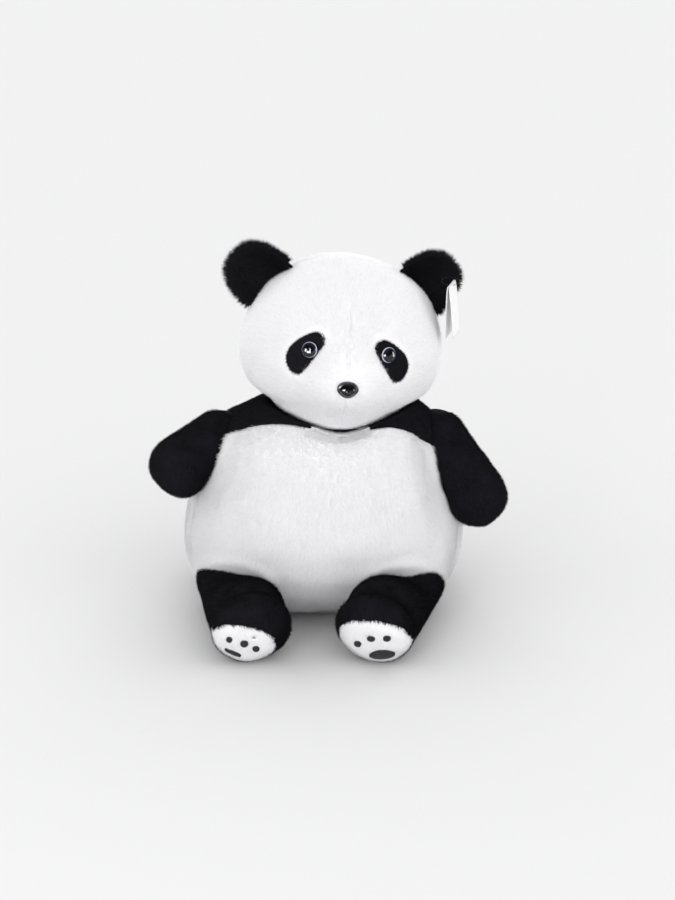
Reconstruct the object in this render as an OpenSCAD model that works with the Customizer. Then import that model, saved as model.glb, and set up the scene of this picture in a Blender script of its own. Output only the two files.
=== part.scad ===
// Seated plush panda: sewn panels over stuffing, with flexing neck, limbs and ears.
// The toy faces -Y, +Z is up, and the origin is on the floor under the seat.
// Every length is in millimetres.

/* [Torso] */
// Half width of the torso at its widest
torso_half_w = 143; // [130:1:155]
// Half depth of the torso at its deepest
torso_half_d = 125; // [112:1:134]
// Radius of the flat seat disc
seat_r = 74; // [60:1:78]
// Thickness of the fabric panels
cloth = 2.5; // [1.5:0.1:3]

/* [Head] */
// Half width of the head
head_half_w = 100; // [94:1:104]
// Half depth of the head
head_half_d = 88; // [84:1:94]
// Height of the head above its centre
head_up = 91; // [84:1:98]
// Radius of the round underside that rolls on the neck pad
head_low = 84.5; // [80:0.5:86]
// Turn of the head at rest
head_yaw = 5; // [-8:1:8]
// Lean of the head at rest
head_roll = 4; // [-6:1:6]
// Radius of a safety eye
eye_r = 7.5; // [6:0.5:9]

/* [Ears and tag] */
// Half width of an ear
ear_w = 30; // [26:1:34]
// Height of an ear above its fold line
ear_h = 33; // [28:1:36]
// Angle of the ears above the horizontal
ear_angle = 38.8; // [30:0.2:45]
// Height of the hang tag
tag_h = 52; // [46:1:60]
// Width of the hang tag
tag_w = 34; // [20:1:40]

/* [Arms and legs] */
// Radius of an arm at the shoulder
arm_r = 30; // [26:0.5:32]
// Radius of an arm at the paw
paw_r = 31; // [26:0.5:33]
// Radius of a leg at the hip
hip_r = 37; // [35:0.5:39]
// Radius of a leg at the foot
foot_r = 37; // [35:0.5:39]
// Clear space around the limbs where they enter the torso
room = 1.6; // [1:0.1:3]

/* [Hidden] */

$fn = 48;
gap = 0.4;                      // between a cover and its stuffing
BLACK = [0.09, 0.09, 0.11];
WHITE = [0.93, 0.93, 0.92];
FILL = [0.98, 0.97, 0.94];

// centre of the head and of the neck's turning
P = [17, -11, 265];
pad_in = head_low + 0.6;        // neck pad, inner and outer radius
pad_out = head_low + 5;
bowl_r = head_low + 6.5;        // hollow in the top of the torso
rim_a = 52;                     // polar angle of the hollow's rim

// shoulders, paws, hips and feet
SL = [-104, -16, 169];  TL = [-141, -52, 153];
SR = [114, -12, 168];   TR = [152, -52, 122];
HL = [-90, -64, 37];    FL = [-70, -172, 37];
HR = [86, -62, 37];     FR = [53, -172, 37];

// joint travel that the torso leaves room for
ARM_SWING = [-30, 0, 15];       // about X
ARM_RAISE = [6, -20, -45];      // towards the torso, then away, about Y
LEG_SPLAY = [-8, 0, 10];        // about Z
LEG_LIFT = [0, 12];             // about -X

// ---------- numbers ----------
function mix(a, b, t) = a + (b - a) * t;
function clamp(t) = min(1, max(0, t));
function ease(a, b, x) = let (t = clamp((x - a) / (b - a))) t * t * (3 - 2 * t);
function unit(v) = v / norm(v);
function rx(v, t) = [v.x, v.y * cos(t) - v.z * sin(t), v.y * sin(t) + v.z * cos(t)];
function ry(v, t) = [v.x * cos(t) + v.z * sin(t), v.y, -v.x * sin(t) + v.z * cos(t)];
function rz(v, t) = [v.x * cos(t) - v.y * sin(t), v.x * sin(t) + v.y * cos(t), v.z];

// ---------- grids of points and the sheets between them ----------
// a grid is a list of rows from low to high, each running round from the front to +X
function faces_out(nr, nc, wrap, p0, p1, o) = let (m = wrap ? nc : nc - 1)
  [for (i = [0:nr - 2], j = [0:m - 1])
    let (a = o + i * nc + (i == 0 && p0 ? 0 : j), d = o + i * nc + (i == 0 && p0 ? 0 : (j + 1) % nc),
         b = o + (i + 1) * nc + (i == nr - 2 && p1 ? 0 : j),
         c = o + (i + 1) * nc + (i == nr - 2 && p1 ? 0 : (j + 1) % nc))
    each [if (b != c) [a, b, c], if (a != d) [a, c, d]]];
function flipped(F) = [for (f = F) [f[0], f[2], f[1]]];
function flat(G) = [for (r = G) each r];

module closed(G) {              // a solid whose first and last rows are points
  nr = len(G); nc = len(G[0]);
  polyhedron(flat(G), faces_out(nr, nc, true, true, true, 0));
}

module sheet(A, B, wrap = false, p0 = false) {  // the solid between two grids, A outside
  nr = len(A); nc = len(A[0]); o = nr * nc; m = wrap ? nc : nc - 1; e = (nr - 1) * nc;
  polyhedron(concat(flat(A), flat(B)), concat(
    faces_out(nr, nc, wrap, p0, false, 0),
    flipped(faces_out(nr, nc, wrap, p0, false, o)),
    wrap ? [] : [for (i = [0:nr - 2]) let (a = i * nc, b = a + nc) each [[o + a, o + b, b], [o + a, b, a]]],
    wrap ? [] : [for (i = [0:nr - 2]) let (q = nc - 1, a = i * nc + (i == 0 && p0 ? 0 : q), b = (i + 1) * nc + q)
      each [[a, b, o + b], [a, o + b, o + a]]],
    p0 ? [] : [for (j = [0:m - 1]) let (k = (j + 1) % nc) each [[o + j, j, k], [o + j, k, o + k]]],
    [for (j = [0:m - 1]) let (k = (j + 1) % nc) each [[e + j, o + e + j, o + e + k], [e + j, o + e + k, e + k]]]));
}

function normal(G, i, j) = let (nr = len(G), nc = len(G[0]),
  u = G[i][(j + 1) % nc] - G[i][(j + nc - 1) % nc],
  v = G[min(nr - 1, i + 1)][j] - G[max(0, i - 1)][j]) unit(cross(u, v));

// ---------- torso surface ----------
M = 40;
// stations: height, half width, half depth, shift in x, shift in y
STATIONS = [[0, seat_r, seat_r, 0, 4], [5, 0.70, 0.74, 0, 3], [14, 0.85, 0.85, 0, 2],
  [28, 0.96, 0.93, 0, 0], [46, 0.995, 0.97, 0, -2], [66, 1, 1, 0, -5], [88, 0.99, 0.99, 0, -6],
  [110, 0.95, 0.95, 0, -6], [130, 0.9, 0.9, 0, -6], [148, 0.85, 0.85, 1, -6],
  [164, 0.8, 0.8, 2, -6], [180, 0.74, 0.74, 4, -7], [193, 0.67, 0.68, 8, -9], [203, 0.59, 0.62, 13, -10]];
// the chin sinks into the front of the neckline: 1 at the front, 0 round the sides and back
function hollow(a) = let (b = a > 180 ? a - 360 : a) exp(-pow(b / 33, 2));
function station(i, j) = let (s = STATIONS[i], a = j * 360 / M, k = i == 0 ? 1 : torso_half_w, l = i == 0 ? 1 : torso_half_d)
  [s[3] + s[1] * k * sin(a), s[4] - s[2] * l * cos(a), s[0] - 17 * ease(140, 205, s[0]) * hollow(a)];
function on_bowl(t0, j) = let (a = j * 360 / M, t = t0 * (1 - 0.35 * hollow(a)))
  P + bowl_r * [sin(t) * sin(a), -sin(t) * cos(a), -cos(t)];
NS = len(STATIONS);
TORSO = concat([for (i = [0:NS - 1]) [for (j = [0:M - 1]) station(i, j)]],
  [[for (j = [0:M - 1]) on_bowl(rim_a, j)]]);
TORSO_N = [for (i = [0:NS]) [for (j = [0:M - 1]) i == 0 ? unit([0.5 * sin(j * 360 / M), -0.5 * cos(j * 360 / M), -1]) :
  i == NS ? unit(normal(TORSO, i, j)) : normal(TORSO, i, j)]];
function torso_grid(i0, i1, j0, j1, d) = [for (i = [i0:i1]) [for (j = [j0:j1]) let (k = (j + M) % M)
  TORSO[i][k] - d * TORSO_N[i][k] + (i == 0 ? [0, 0, 0] : [0, 0, 0])]];
module torso_panel(i0, i1, j0, j1) {
  sheet(torso_grid(i0, i1, j0, j1, 0), torso_grid(i0, i1, j0, j1, cloth));
}

// space that a limb takes up where it meets the torso, over its whole travel
module reach(c, d, r0, r1, l) {
  hull() {
    translate(c) sphere(r0 + room, $fn = 32);
    translate(c + d * l) sphere(r1 + room, $fn = 32);
  }
}
module arms_reach() {
  for (s = ARM_SWING, r = ARM_RAISE) {
    reach(SL, rx(ry(unit(TL - SL), -r), s), arm_r, paw_r, norm(TL - SL));
    reach(SR, rx(ry(unit(TR - SR), r), s), arm_r, paw_r, norm(TR - SR));
  }
}
module legs_reach() {
  for (s = LEG_SPLAY, l = LEG_LIFT) {
    reach(HL, rz(rx(unit(FL - HL), -l), -s), hip_r, foot_r, norm(FL - HL));
    reach(HR, rz(rx(unit(FR - HR), -l), s), hip_r, foot_r, norm(FR - HR));
  }
}

module belly_panel() { color(WHITE) difference() { torso_panel(0, 12, -8, 8); arms_reach(); legs_reach(); } }
module chest_yoke() { color(BLACK) difference() { torso_panel(12, NS, -8, 8); arms_reach(); } }
module back_yoke() { color(BLACK) difference() { torso_panel(9, NS, 8, 32); arms_reach(); } }
module back_panel_left() { color(WHITE) difference() { torso_panel(0, 9, 20, 32); arms_reach(); legs_reach(); } }
module back_panel_right() { color(WHITE) difference() { torso_panel(0, 9, 8, 20); arms_reach(); legs_reach(); } }
module seat_base() { color(WHITE) translate([0, 4, 0]) cylinder(h = cloth, r = seat_r - 1.6, $fn = 96); }
module body_stuffing() {
  d = cloth + gap;
  color(FILL) difference() {
    closed(concat([[for (j = [0:M - 1]) [0, 4, d]]], torso_grid(0, NS - 1, 0, M - 1, d),
      [for (t = [rim_a - 6, 38, 28, 14]) [for (j = [0:M - 1]) on_bowl(t, j)]],
      [[for (j = [0:M - 1]) on_bowl(0, j)]]));
    arms_reach(); legs_reach();
  }
}
// hand-sewn closing seam down the middle of the back
module closing_stitches() {
  color([0.85, 0.85, 0.84]) for (k = [0:9]) let (z = 60 + k * 6)
    translate([0, -6 + torso_half_d * back_k(z) + 1.4, z]) rotate([0, 90, 0]) cylinder(h = 7, r = 0.7, center = true, $fn = 16);
}
function back_k(z) = z < 66 ? mix(0.985, 1.008, (z - 46) / 20) : z < 88 ? mix(1.008, 0.99, (z - 66) / 22) : mix(0.99, 0.95, (z - 88) / 22);
// blank sewn-in label at the seam beside the seat
module care_label() {
  color([0.97, 0.97, 0.96]) translate([24, 0.94 * torso_half_d + 1.2, 30]) rotate([-18, 0, 0]) cube([22, 0.8, 32], center = true);
}

// ---------- neck ----------
module neck_fill() {
  color(BLACK) translate(P) rotate_extrude($fn = 72) polygon(concat(
    [for (t = [0:6:30]) pad_out * [sin(t), -cos(t)]],
    [for (t = [30:-6:0]) pad_in * [sin(t), -cos(t)]]));
}

// ---------- head surface, about its own centre ----------
HM = 36;
HROWS = [0, 14, 28, 40, 52, 64, 76, 88, 100, 112, 124, 136, 148, 160, 171, 180];
function muzzle(d) = let (az = atan2(d.x, -d.y), el = asin(clamp((d.z + 1) / 2) * 2 - 1))
  4 * exp(-pow(az / 24, 2) - pow((el + 15) / 17, 2));
function head_axes(d) = let (s = ease(0.35, 0.62, -d.z))
  [mix(head_half_w, head_low, s), mix(head_half_d, head_low, s), d.z > 0 ? head_up : head_low];
function head_radius(d) = let (a = head_axes(d))
  1 / sqrt(pow(d.x / a.x, 2) + pow(d.y / a.y, 2) + pow(d.z / a.z, 2)) + muzzle(d);
function head_dir(t, a) = [sin(t) * sin(a), -sin(t) * cos(a), -cos(t)];
function head_point(t, a, d) = let (v = head_dir(t, a)) v * (head_radius(v) - d);
function head_grid(i0, i1, j0, j1, d) = [for (i = [i0:i1]) [for (j = [j0:j1])
  head_point(HROWS[i], j * 360 / HM, i < 2 ? 0 : d)]];
module head_place() { translate(P) rotate([0, head_roll, head_yaw]) children(); }
HN = len(HROWS) - 1;
// a panel that ends in a point at the crown: rows are given from the crown down
function crown_grid(i0, j0, j1, d) = [for (i = [HN:-1:i0]) [for (j = [j1:-1:j0]) head_point(HROWS[i], j * 360 / HM, d)]];
module head_panel(j0, j1) { sheet(crown_grid(2, j0, j1, 0), crown_grid(2, j0, j1, cloth), p0 = true); }

// directions of the face's fittings
function look(az, el) = [sin(az) * cos(el), -cos(az) * cos(el), sin(el)];
EYE_L = look(-25, 11);   EYE_R = look(25, 11);
NOSE = look(0, -10.5);
function surface_normal(d) = let (a = head_axes(d), p = d * head_radius(d))
  unit([p.x / pow(a.x, 2), p.y / pow(a.y, 2), p.z / pow(a.z, 2)]);
module on_face(d) {      // +Z out of the face, +Y up it
  n = surface_normal(d); r = head_radius(d);
  translate(d * r) rotate([0, 0, atan2(n.x, -n.y)]) rotate([90 - asin(n.z), 0, 0]) children();
}
module stem_hole(d, r) { on_face(d) translate([0, 0, -8]) cylinder(h = 14, r = r, $fn = 24); }
module fitting_room(d) { on_face(d) translate([0, 0, -18]) cylinder(h = 19, r = 10, $fn = 32); }

module face_left() { color(WHITE) head_place() difference() {
  head_panel(-10, 0); stem_hole(EYE_L, 2.6); stem_hole(NOSE, 2.6); } }
module face_right() { color(WHITE) head_place() difference() {
  head_panel(0, 10); stem_hole(EYE_R, 2.6); stem_hole(NOSE, 2.6); } }
module head_back() { color(WHITE) head_place() head_panel(10, 26); }
module head_stuffing() { color(FILL) head_place() difference() {
  closed([for (i = [0:HN]) [for (j = [0:HM - 1]) head_point(HROWS[i], j * 360 / HM, i < 2 ? 0.3 : cloth + gap)]]);
  fitting_room(EYE_L); fitting_room(EYE_R); fitting_room(NOSE); } }

// oval pile patch laid on the face; tilt turns its top towards the nose
function patch_dir(c, tilt, k, a) = let (e1 = unit(cross([0, 0, 1], -c)), e2 = cross(-e1, c),
  x = 15.5 * k * cos(a), y = 21.5 * k * sin(a) * (1 - 0.08 * cos(a)),
  u = x * cos(tilt) - y * sin(tilt), v = x * sin(tilt) + y * cos(tilt)) unit(c * 90 - e1 * u + e2 * v);
function patch_grid(c, tilt, h) = [for (k = [0, 0.45, 0.8, 1]) [for (j = [0:19])
  let (d = patch_dir(c, tilt, k, -j * 18)) d * (head_radius(d) + h * (k == 1 && h > 1 ? 0.55 : 1))]];
module eye_patch(c, tilt, eye) { color(BLACK) head_place() difference() {
  sheet(patch_grid(c, tilt, 2), patch_grid(c, tilt, 0.1), wrap = true, p0 = true); stem_hole(eye, 2.6); } }
module eye_patch_left() { eye_patch(look(-28.5, 8), -30, EYE_L); }
module eye_patch_right() { eye_patch(look(28.5, 8), 30, EYE_R); }

// glossy dome with a ridged stem, and the washer that locks it behind the cloth
module eye(d) { color([0.02, 0.02, 0.02]) head_place() on_face(d) {
  translate([0, 0, 2.3]) rotate_extrude($fn = 48) polygon(concat([[0, 0]],
    [for (t = [0:9:90]) [eye_r * cos(t), 0.8 + 5.2 * sin(t)]], []));
  translate([0, 0, -13]) cylinder(h = 15.4, r = 2.4, $fn = 24);
} }
module washer(d, depth = 5.7) { color([0.9, 0.9, 0.88]) head_place() on_face(d) translate([0, 0, -depth]) difference() {
  cylinder(h = 1.6, r = 8, $fn = 48); translate([0, 0, -1]) cylinder(h = 4, r = 2.45, $fn = 24); } }
module eye_left() { eye(EYE_L); }
module eye_right() { eye(EYE_R); }
module eye_washer_left() { washer(EYE_L); }
module eye_washer_right() { washer(EYE_R); }
module nose() { color([0.02, 0.02, 0.02]) head_place() on_face(NOSE) {
  intersection() { translate([0, 0, 0.8]) scale([10.5, 8.5, 6.5]) sphere(1, $fn = 48); translate([-15, -15, 0.8]) cube([30, 30, 20]); }
  translate([0, 0, -13]) cylinder(h = 14, r = 2.4, $fn = 24);
} }
module nose_washer() { washer(NOSE, 7.4); }

// ---------- ears ----------
ear_out = 100;                  // fold line's distance from the head's centre
module ear_place(s) { head_place() translate([s * ear_out * cos(ear_angle), 12, ear_out * sin(ear_angle)])
  rotate([0, s * (90 - ear_angle), 0]) children(); }
function ear_mid(k) = -8 * k * k;
function ear_thick(k) = 14 - 8 * k;
// rows run out from the middle of the fold line; the side faces lie on the fold plane
function ear_grid(f) = [for (k = [0, 0.35, 0.65, 0.87, 1]) [for (j = [0:14]) let (a = 180 - j * 180 / 14)
  [ear_w * k * cos(a), ear_mid(k) + f * ear_thick(k) / 2, ear_h * k * sin(a)]]];
module ear_half(f0, f1) { sheet(ear_grid(f0), ear_grid(f1), p0 = true); }
module ear_front_left() { color(BLACK) ear_place(-1) ear_half(-1, 0); }
module ear_back_left() { color(BLACK) ear_place(-1) ear_half(0, 1); }
module ear_front_right() { color(BLACK) ear_place(1) ear_half(-1, 0); }
module ear_back_right() { color(BLACK) ear_place(1) ear_half(0, 1); }

// ---------- hang tag ----------
TAG = [125, -22, 331.5];        // where the loop carries the card, on its fold
module tag_loop() { color([0.9, 0.9, 0.9]) translate(TAG + [0, 11, 0]) rotate_extrude($fn = 48) translate([11, 0]) circle(0.5, $fn = 16); }
module leaf(turn, hole) {
  color([0.97, 0.97, 0.97]) translate(TAG) rotate([0, turn, -15]) difference() {
    translate([hole ? -0.5 : 0, 0, 0]) translate([-0.25, 0, -tag_h / 2]) rotate([0, 90, 0])
      linear_extrude(height = 0.5, center = true) difference() {
        square([tag_h, tag_w], center = true);
        for (s = [-1, 1]) translate([tag_h / 2, s * tag_w / 2]) rotate(45) square(4, center = true);
      }
    rotate([0, 90, 0]) cylinder(h = 8, r = 1.8, center = true, $fn = 24);
  }
}
module tag_leaf_inner() { leaf(1, true); }
module tag_leaf_outer() { translate([0.4, 0, 0]) leaf(-6, false); }

// ---------- limbs ----------
// outline from the open root round to the end of the limb; the axis is +Z
function outline(r0, r1, l, off, back, n) = let (p = asin((r0 - r1) / l))
  concat([for (i = [0:n]) let (a = mix(180 - back, 90 - p, i / n)) (r0 - off) * [sin(a), cos(a)]],
         [for (i = [0:n]) let (a = mix(90 - p, 0, i / n)) [(r1 - off) * sin(a), l + (r1 - off) * cos(a)]]);
function reversed(v) = [for (i = [len(v) - 1:-1:0]) v[i]];
module limb_place(c, t) { d = unit(t - c); translate(c) rotate([0, acos(d.z), atan2(d.y, d.x)]) children(); }
module limb_cover(r0, r1, l) {
  rotate_extrude($fn = 48) polygon(concat(outline(r0, r1, l, 0, 24, 6), reversed(outline(r0, r1, l, cloth, 24, 6))));
}
module limb_stuffing(r0, r1, l, ball) {
  o = outline(r0, r1, l, cloth + gap, 24, 6);
  difference() {
    rotate_extrude($fn = 48) polygon(concat([[0, o[0].y]], o));
    sphere(ball + 0.5, $fn = 48);
    translate([0, 0, -r0]) cylinder(h = r0, r = ball * 0.55, $fn = 32);
  }
}
module limb_fill(c, ball) { color(FILL) translate(c) sphere(ball, $fn = 48); }

module shoulder_fill_left() { limb_fill(SL, 16); }
module shoulder_fill_right() { limb_fill(SR, 16); }
module arm_cover_left() { color(BLACK) limb_place(SL, TL) limb_cover(arm_r, paw_r, norm(TL - SL)); }
module arm_cover_right() { color(BLACK) limb_place(SR, TR) limb_cover(arm_r, paw_r, norm(TR - SR)); }
module arm_stuffing_left() { color(FILL) limb_place(SL, TL) limb_stuffing(arm_r, paw_r, norm(TL - SL), 16); }
module arm_stuffing_right() { color(FILL) limb_place(SR, TR) limb_stuffing(arm_r, paw_r, norm(TR - SR), 16); }

sole_a = 57;                    // half angle of the sole's round cap
sole_drop = 25;                 // how far the sole's middle lies below the leg's line
// a direction from the foot's centre: degrees to the side and degrees up from the leg's line
function foot_dir(c, t, side, up) = let (d = unit(t - c), e = unit(cross(d, [0, 0, 1])), u = cross(e, d))
  unit(d * cos(up) * cos(side) + e * sin(side) + u * sin(up) * cos(side));
module facing(v) { rotate([0, acos(v.z), atan2(v.y, v.x)]) children(); }
module sole_cone(c, t) { translate(t) facing(foot_dir(c, t, 0, -sole_drop)) cylinder(h = 60, r1 = 0, r2 = 60 * tan(sole_a), $fn = 72); }
// how far round the foot's ball the sole's edge lies, seen from the leg's axis; a = 0 is downwards
function sole_edge(a) = let (u = cos(sole_drop), v = sin(sole_drop) * cos(a))
  atan2(v, u) + acos(cos(sole_a) / norm([u, v]));
function leg_rows(l, r) = concat(
  [for (i = [0:6]) let (b = mix(156, 90, i / 6)) [for (j = [0:35]) r * [sin(b) * cos(j * 10), sin(b) * sin(j * 10), cos(b)]]],
  [for (i = [0:6]) [for (j = [0:35]) let (b = mix(90, sole_edge(j * 10) + 0.4, i / 6))
    [r * sin(b) * cos(j * 10), r * sin(b) * sin(j * 10), l + r * cos(b)]]]);
module leg_cover(c, t) { l = norm(t - c); color(BLACK) limb_place(c, t) sheet(leg_rows(l, foot_r), leg_rows(l, foot_r - cloth), wrap = true); }
module leg_stuffing(c, t) { color(FILL) limb_place(c, t) limb_stuffing(hip_r, foot_r, norm(t - c), 20); }
module sole(c, t) { color(WHITE) intersection() {
  translate(t) difference() { sphere(foot_r, $fn = 72); sphere(foot_r - cloth, $fn = 72); }
  sole_cone(c, t);
} }
module hip_fill_left() { limb_fill(HL, 20); }
module hip_fill_right() { limb_fill(HR, 20); }
module leg_cover_left() { leg_cover(HL, FL); }
module leg_cover_right() { leg_cover(HR, FR); }
module leg_stuffing_left() { leg_stuffing(HL, FL); }
module leg_stuffing_right() { leg_stuffing(HR, FR); }
module sole_left() { sole(HL, FL); }
module sole_right() { sole(HR, FR); }
// thin pads that lie on the sole
module pad(c, t, side, up, r) { v = foot_dir(c, t, side, up); translate(t + v * (foot_r + 0.15)) facing(v) cylinder(h = 0.9, r = r, $fn = 24); }
module heel_pad(c, t) { color([0.19, 0.18, 0.2]) pad(c, t, 0, -30, 8); }
module toe_pads(c, t) { color([0.19, 0.18, 0.2]) { pad(c, t, -20, -12, 4); pad(c, t, 0, -8, 4); pad(c, t, 20, -12, 4); } }
module heel_pad_left() { heel_pad(HL, FL); }
module heel_pad_right() { heel_pad(HR, FR); }
module toe_pads_left() { toe_pads(HL, FL); }
module toe_pads_right() { toe_pads(HR, FR); }

belly_panel();
chest_yoke();
back_yoke();
back_panel_left();
back_panel_right();
seat_base();
body_stuffing();
closing_stitches();
care_label();
neck_fill();
face_left();
face_right();
head_back();
head_stuffing();
eye_patch_left();
eye_patch_right();
eye_left();
eye_right();
eye_washer_left();
eye_washer_right();
nose();
nose_washer();
ear_front_left();
ear_back_left();
ear_front_right();
ear_back_right();
tag_loop();
tag_leaf_inner();
tag_leaf_outer();
shoulder_fill_left();
shoulder_fill_right();
arm_cover_left();
arm_cover_right();
arm_stuffing_left();
arm_stuffing_right();
hip_fill_left();
hip_fill_right();
leg_cover_left();
leg_cover_right();
leg_stuffing_left();
leg_stuffing_right();
sole_left();
sole_right();
heel_pad_left();
heel_pad_right();
toe_pads_left();
toe_pads_right();
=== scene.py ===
import bpy, math
import numpy as np
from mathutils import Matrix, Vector


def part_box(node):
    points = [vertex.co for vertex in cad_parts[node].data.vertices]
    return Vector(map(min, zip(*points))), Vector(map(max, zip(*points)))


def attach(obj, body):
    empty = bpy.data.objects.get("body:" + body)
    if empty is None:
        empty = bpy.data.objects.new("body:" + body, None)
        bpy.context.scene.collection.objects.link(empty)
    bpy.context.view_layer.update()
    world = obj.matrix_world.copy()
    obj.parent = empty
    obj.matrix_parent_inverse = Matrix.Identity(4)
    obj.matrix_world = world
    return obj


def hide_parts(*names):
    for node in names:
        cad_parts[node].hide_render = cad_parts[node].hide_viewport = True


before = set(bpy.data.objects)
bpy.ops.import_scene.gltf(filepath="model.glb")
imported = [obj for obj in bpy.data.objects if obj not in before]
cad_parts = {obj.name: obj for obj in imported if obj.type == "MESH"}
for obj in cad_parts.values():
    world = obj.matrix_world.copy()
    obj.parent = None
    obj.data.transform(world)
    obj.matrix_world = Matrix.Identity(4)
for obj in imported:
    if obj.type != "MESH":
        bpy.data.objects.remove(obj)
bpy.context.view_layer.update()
MM = 0.001
A = np.array

# ------------------------------------------------------------------ small tools
def unit(v):
    v = np.asarray(v, float)
    return v / np.maximum(np.linalg.norm(v, axis=-1, keepdims=True), 1e-12)

def ease(a, b, x):
    t = np.clip((x - a) / (b - a), 0, 1)
    return t * t * (3 - 2 * t)

def rot(ax, deg):
    a = math.radians(deg); c, s = math.cos(a), math.sin(a)
    return {"x": A([[1, 0, 0], [0, c, -s], [0, s, c]]), "y": A([[c, 0, s], [0, 1, 0], [-s, 0, c]]),
            "z": A([[c, -s, 0], [s, c, 0], [0, 0, 1]])}[ax]

def pchip(x, X, Y):
    X = np.asarray(X, float); Y = np.asarray(Y, float)
    h = np.diff(X); d = np.diff(Y) / h
    m = np.zeros(len(X))
    for i in range(1, len(X) - 1):
        if d[i - 1] * d[i] > 0:
            w1, w2 = 2 * h[i] + h[i - 1], h[i] + 2 * h[i - 1]
            m[i] = (w1 + w2) / (w1 / d[i - 1] + w2 / d[i])
    m[0] = d[0]; m[-1] = d[-1]
    k = np.clip(np.searchsorted(X, x, side="right") - 1, 0, len(X) - 2)
    t = np.clip((x - X[k]) / h[k], 0, 1)
    return ((2 * t**3 - 3 * t**2 + 1) * Y[k] + (t**3 - 2 * t**2 + t) * h[k] * m[k]
            + (-2 * t**3 + 3 * t**2) * Y[k + 1] + (t**3 - t**2) * h[k] * m[k + 1])

def waves(seed, size, n=14):
    """smooth lumps about `size` mm across, from -1 to 1"""
    r = np.random.RandomState(seed)
    k = unit(r.normal(size=(n, 3))) * (2 * math.pi / (size * r.uniform(0.7, 1.5, (n, 1))))
    ph = r.uniform(0, 2 * math.pi, n)
    return lambda p: np.sin(np.asarray(p) @ k.T + ph).sum(-1) / (n ** 0.5) / 1.6

def mesh(name, V, F, mats, mi=None, smooth=True, normals=None):
    """V in mm; F a list of integer arrays of triangles or quads; mi a list of material indices to match;
    normals: the shading normal of each vertex, if it isn't the mesh's own"""
    me = bpy.data.meshes.new(name)
    V = np.asarray(V, float)
    me.vertices.add(len(V)); me.vertices.foreach_set("co", (V * MM).astype(np.float32).ravel())
    F = [np.asarray(f, np.int32) for f in F if len(f)]
    n = sum(len(f) for f in F); loops = np.concatenate([f.ravel() for f in F])
    sizes = np.concatenate([np.full(len(f), f.shape[1], np.int32) for f in F])
    me.loops.add(len(loops)); me.loops.foreach_set("vertex_index", loops)
    me.polygons.add(n)
    me.polygons.foreach_set("loop_start", np.concatenate([[0], np.cumsum(sizes)[:-1]]).astype(np.int32))
    me.polygons.foreach_set("loop_total", sizes)
    for m in mats:
        me.materials.append(m)
    if mi is not None:
        me.polygons.foreach_set("material_index", np.concatenate([np.asarray(m, np.int32) for m in mi]))
    me.polygons.foreach_set("use_smooth", np.full(n, smooth, bool))
    me.update(calc_edges=True)
    if normals is None:
        me.validate()
    else:
        me.normals_split_custom_set_from_vertices(unit(normals).tolist())
    o = bpy.data.objects.new(name, me)
    bpy.context.scene.collection.objects.link(o)
    return o

def grid_normals(G, wrap):
    du = (np.roll(G, -1, 1) - np.roll(G, 1, 1)) if wrap else np.gradient(G, axis=1)
    dv = np.gradient(G, axis=0)
    return unit(np.cross(du, dv))

def grid_quads(nr, nc, wrap, off=0):
    i, j = np.meshgrid(np.arange(nr - 1), np.arange(nc if wrap else nc - 1), indexing="ij")
    k = (j + 1) % nc
    return (np.stack([i * nc + j, i * nc + k, (i + 1) * nc + k, (i + 1) * nc + j], -1) + off).reshape(-1, 4)

def shell(name, G, N, thick, mats, wrap=False, body=None, stands_for=()):
    """a cloth panel: the grid and a copy of it `thick` further in, closed round its edges"""
    nr, nc = G.shape[:2]
    V = np.concatenate([G.reshape(-1, 3), (G - N * thick).reshape(-1, 3)])
    o = nr * nc
    Q = [grid_quads(nr, nc, wrap), grid_quads(nr, nc, wrap, o)[:, ::-1]]
    def rim(a):
        return np.stack([a[:-1], o + a[:-1], o + a[1:], a[1:]], -1)
    j = np.arange(nc + 1) % nc if wrap else np.arange(nc)
    Q += [rim(j), rim(((nr - 1) * nc + j)[::-1])]
    if not wrap:
        i = np.arange(nr) * nc
        Q += [rim(i[::-1]), rim(i + nc - 1)]
    ob = mesh(name, V, [np.concatenate(Q)], mats)
    return place(ob, body, stands_for)

def place(ob, body, stands_for=()):
    if stands_for:
        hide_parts(*stands_for)
    if body:
        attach(ob, body)
    return ob

# ------------------------------------------------------------------ materials
def principled(name):
    m = bpy.data.materials.new(name); m.use_nodes = True
    nt = m.node_tree; b = nt.nodes["Principled BSDF"]
    return m, nt, b

def plain(name, col, rough=0.9, spec=0.2, sheen=0.0, coat=0.0, tint=(1, 1, 1), metal=0.0):
    m, nt, b = principled(name)
    b.inputs["Base Color"].default_value = (*col, 1)
    b.inputs["Roughness"].default_value = rough
    b.inputs["Specular IOR Level"].default_value = spec
    b.inputs["Sheen Weight"].default_value = sheen
    b.inputs["Sheen Roughness"].default_value = 0.5
    b.inputs["Sheen Tint"].default_value = (*tint, 1)
    b.inputs["Coat Weight"].default_value = coat
    b.inputs["Coat Roughness"].default_value = 0.03
    b.inputs["Metallic"].default_value = metal
    return m

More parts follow.
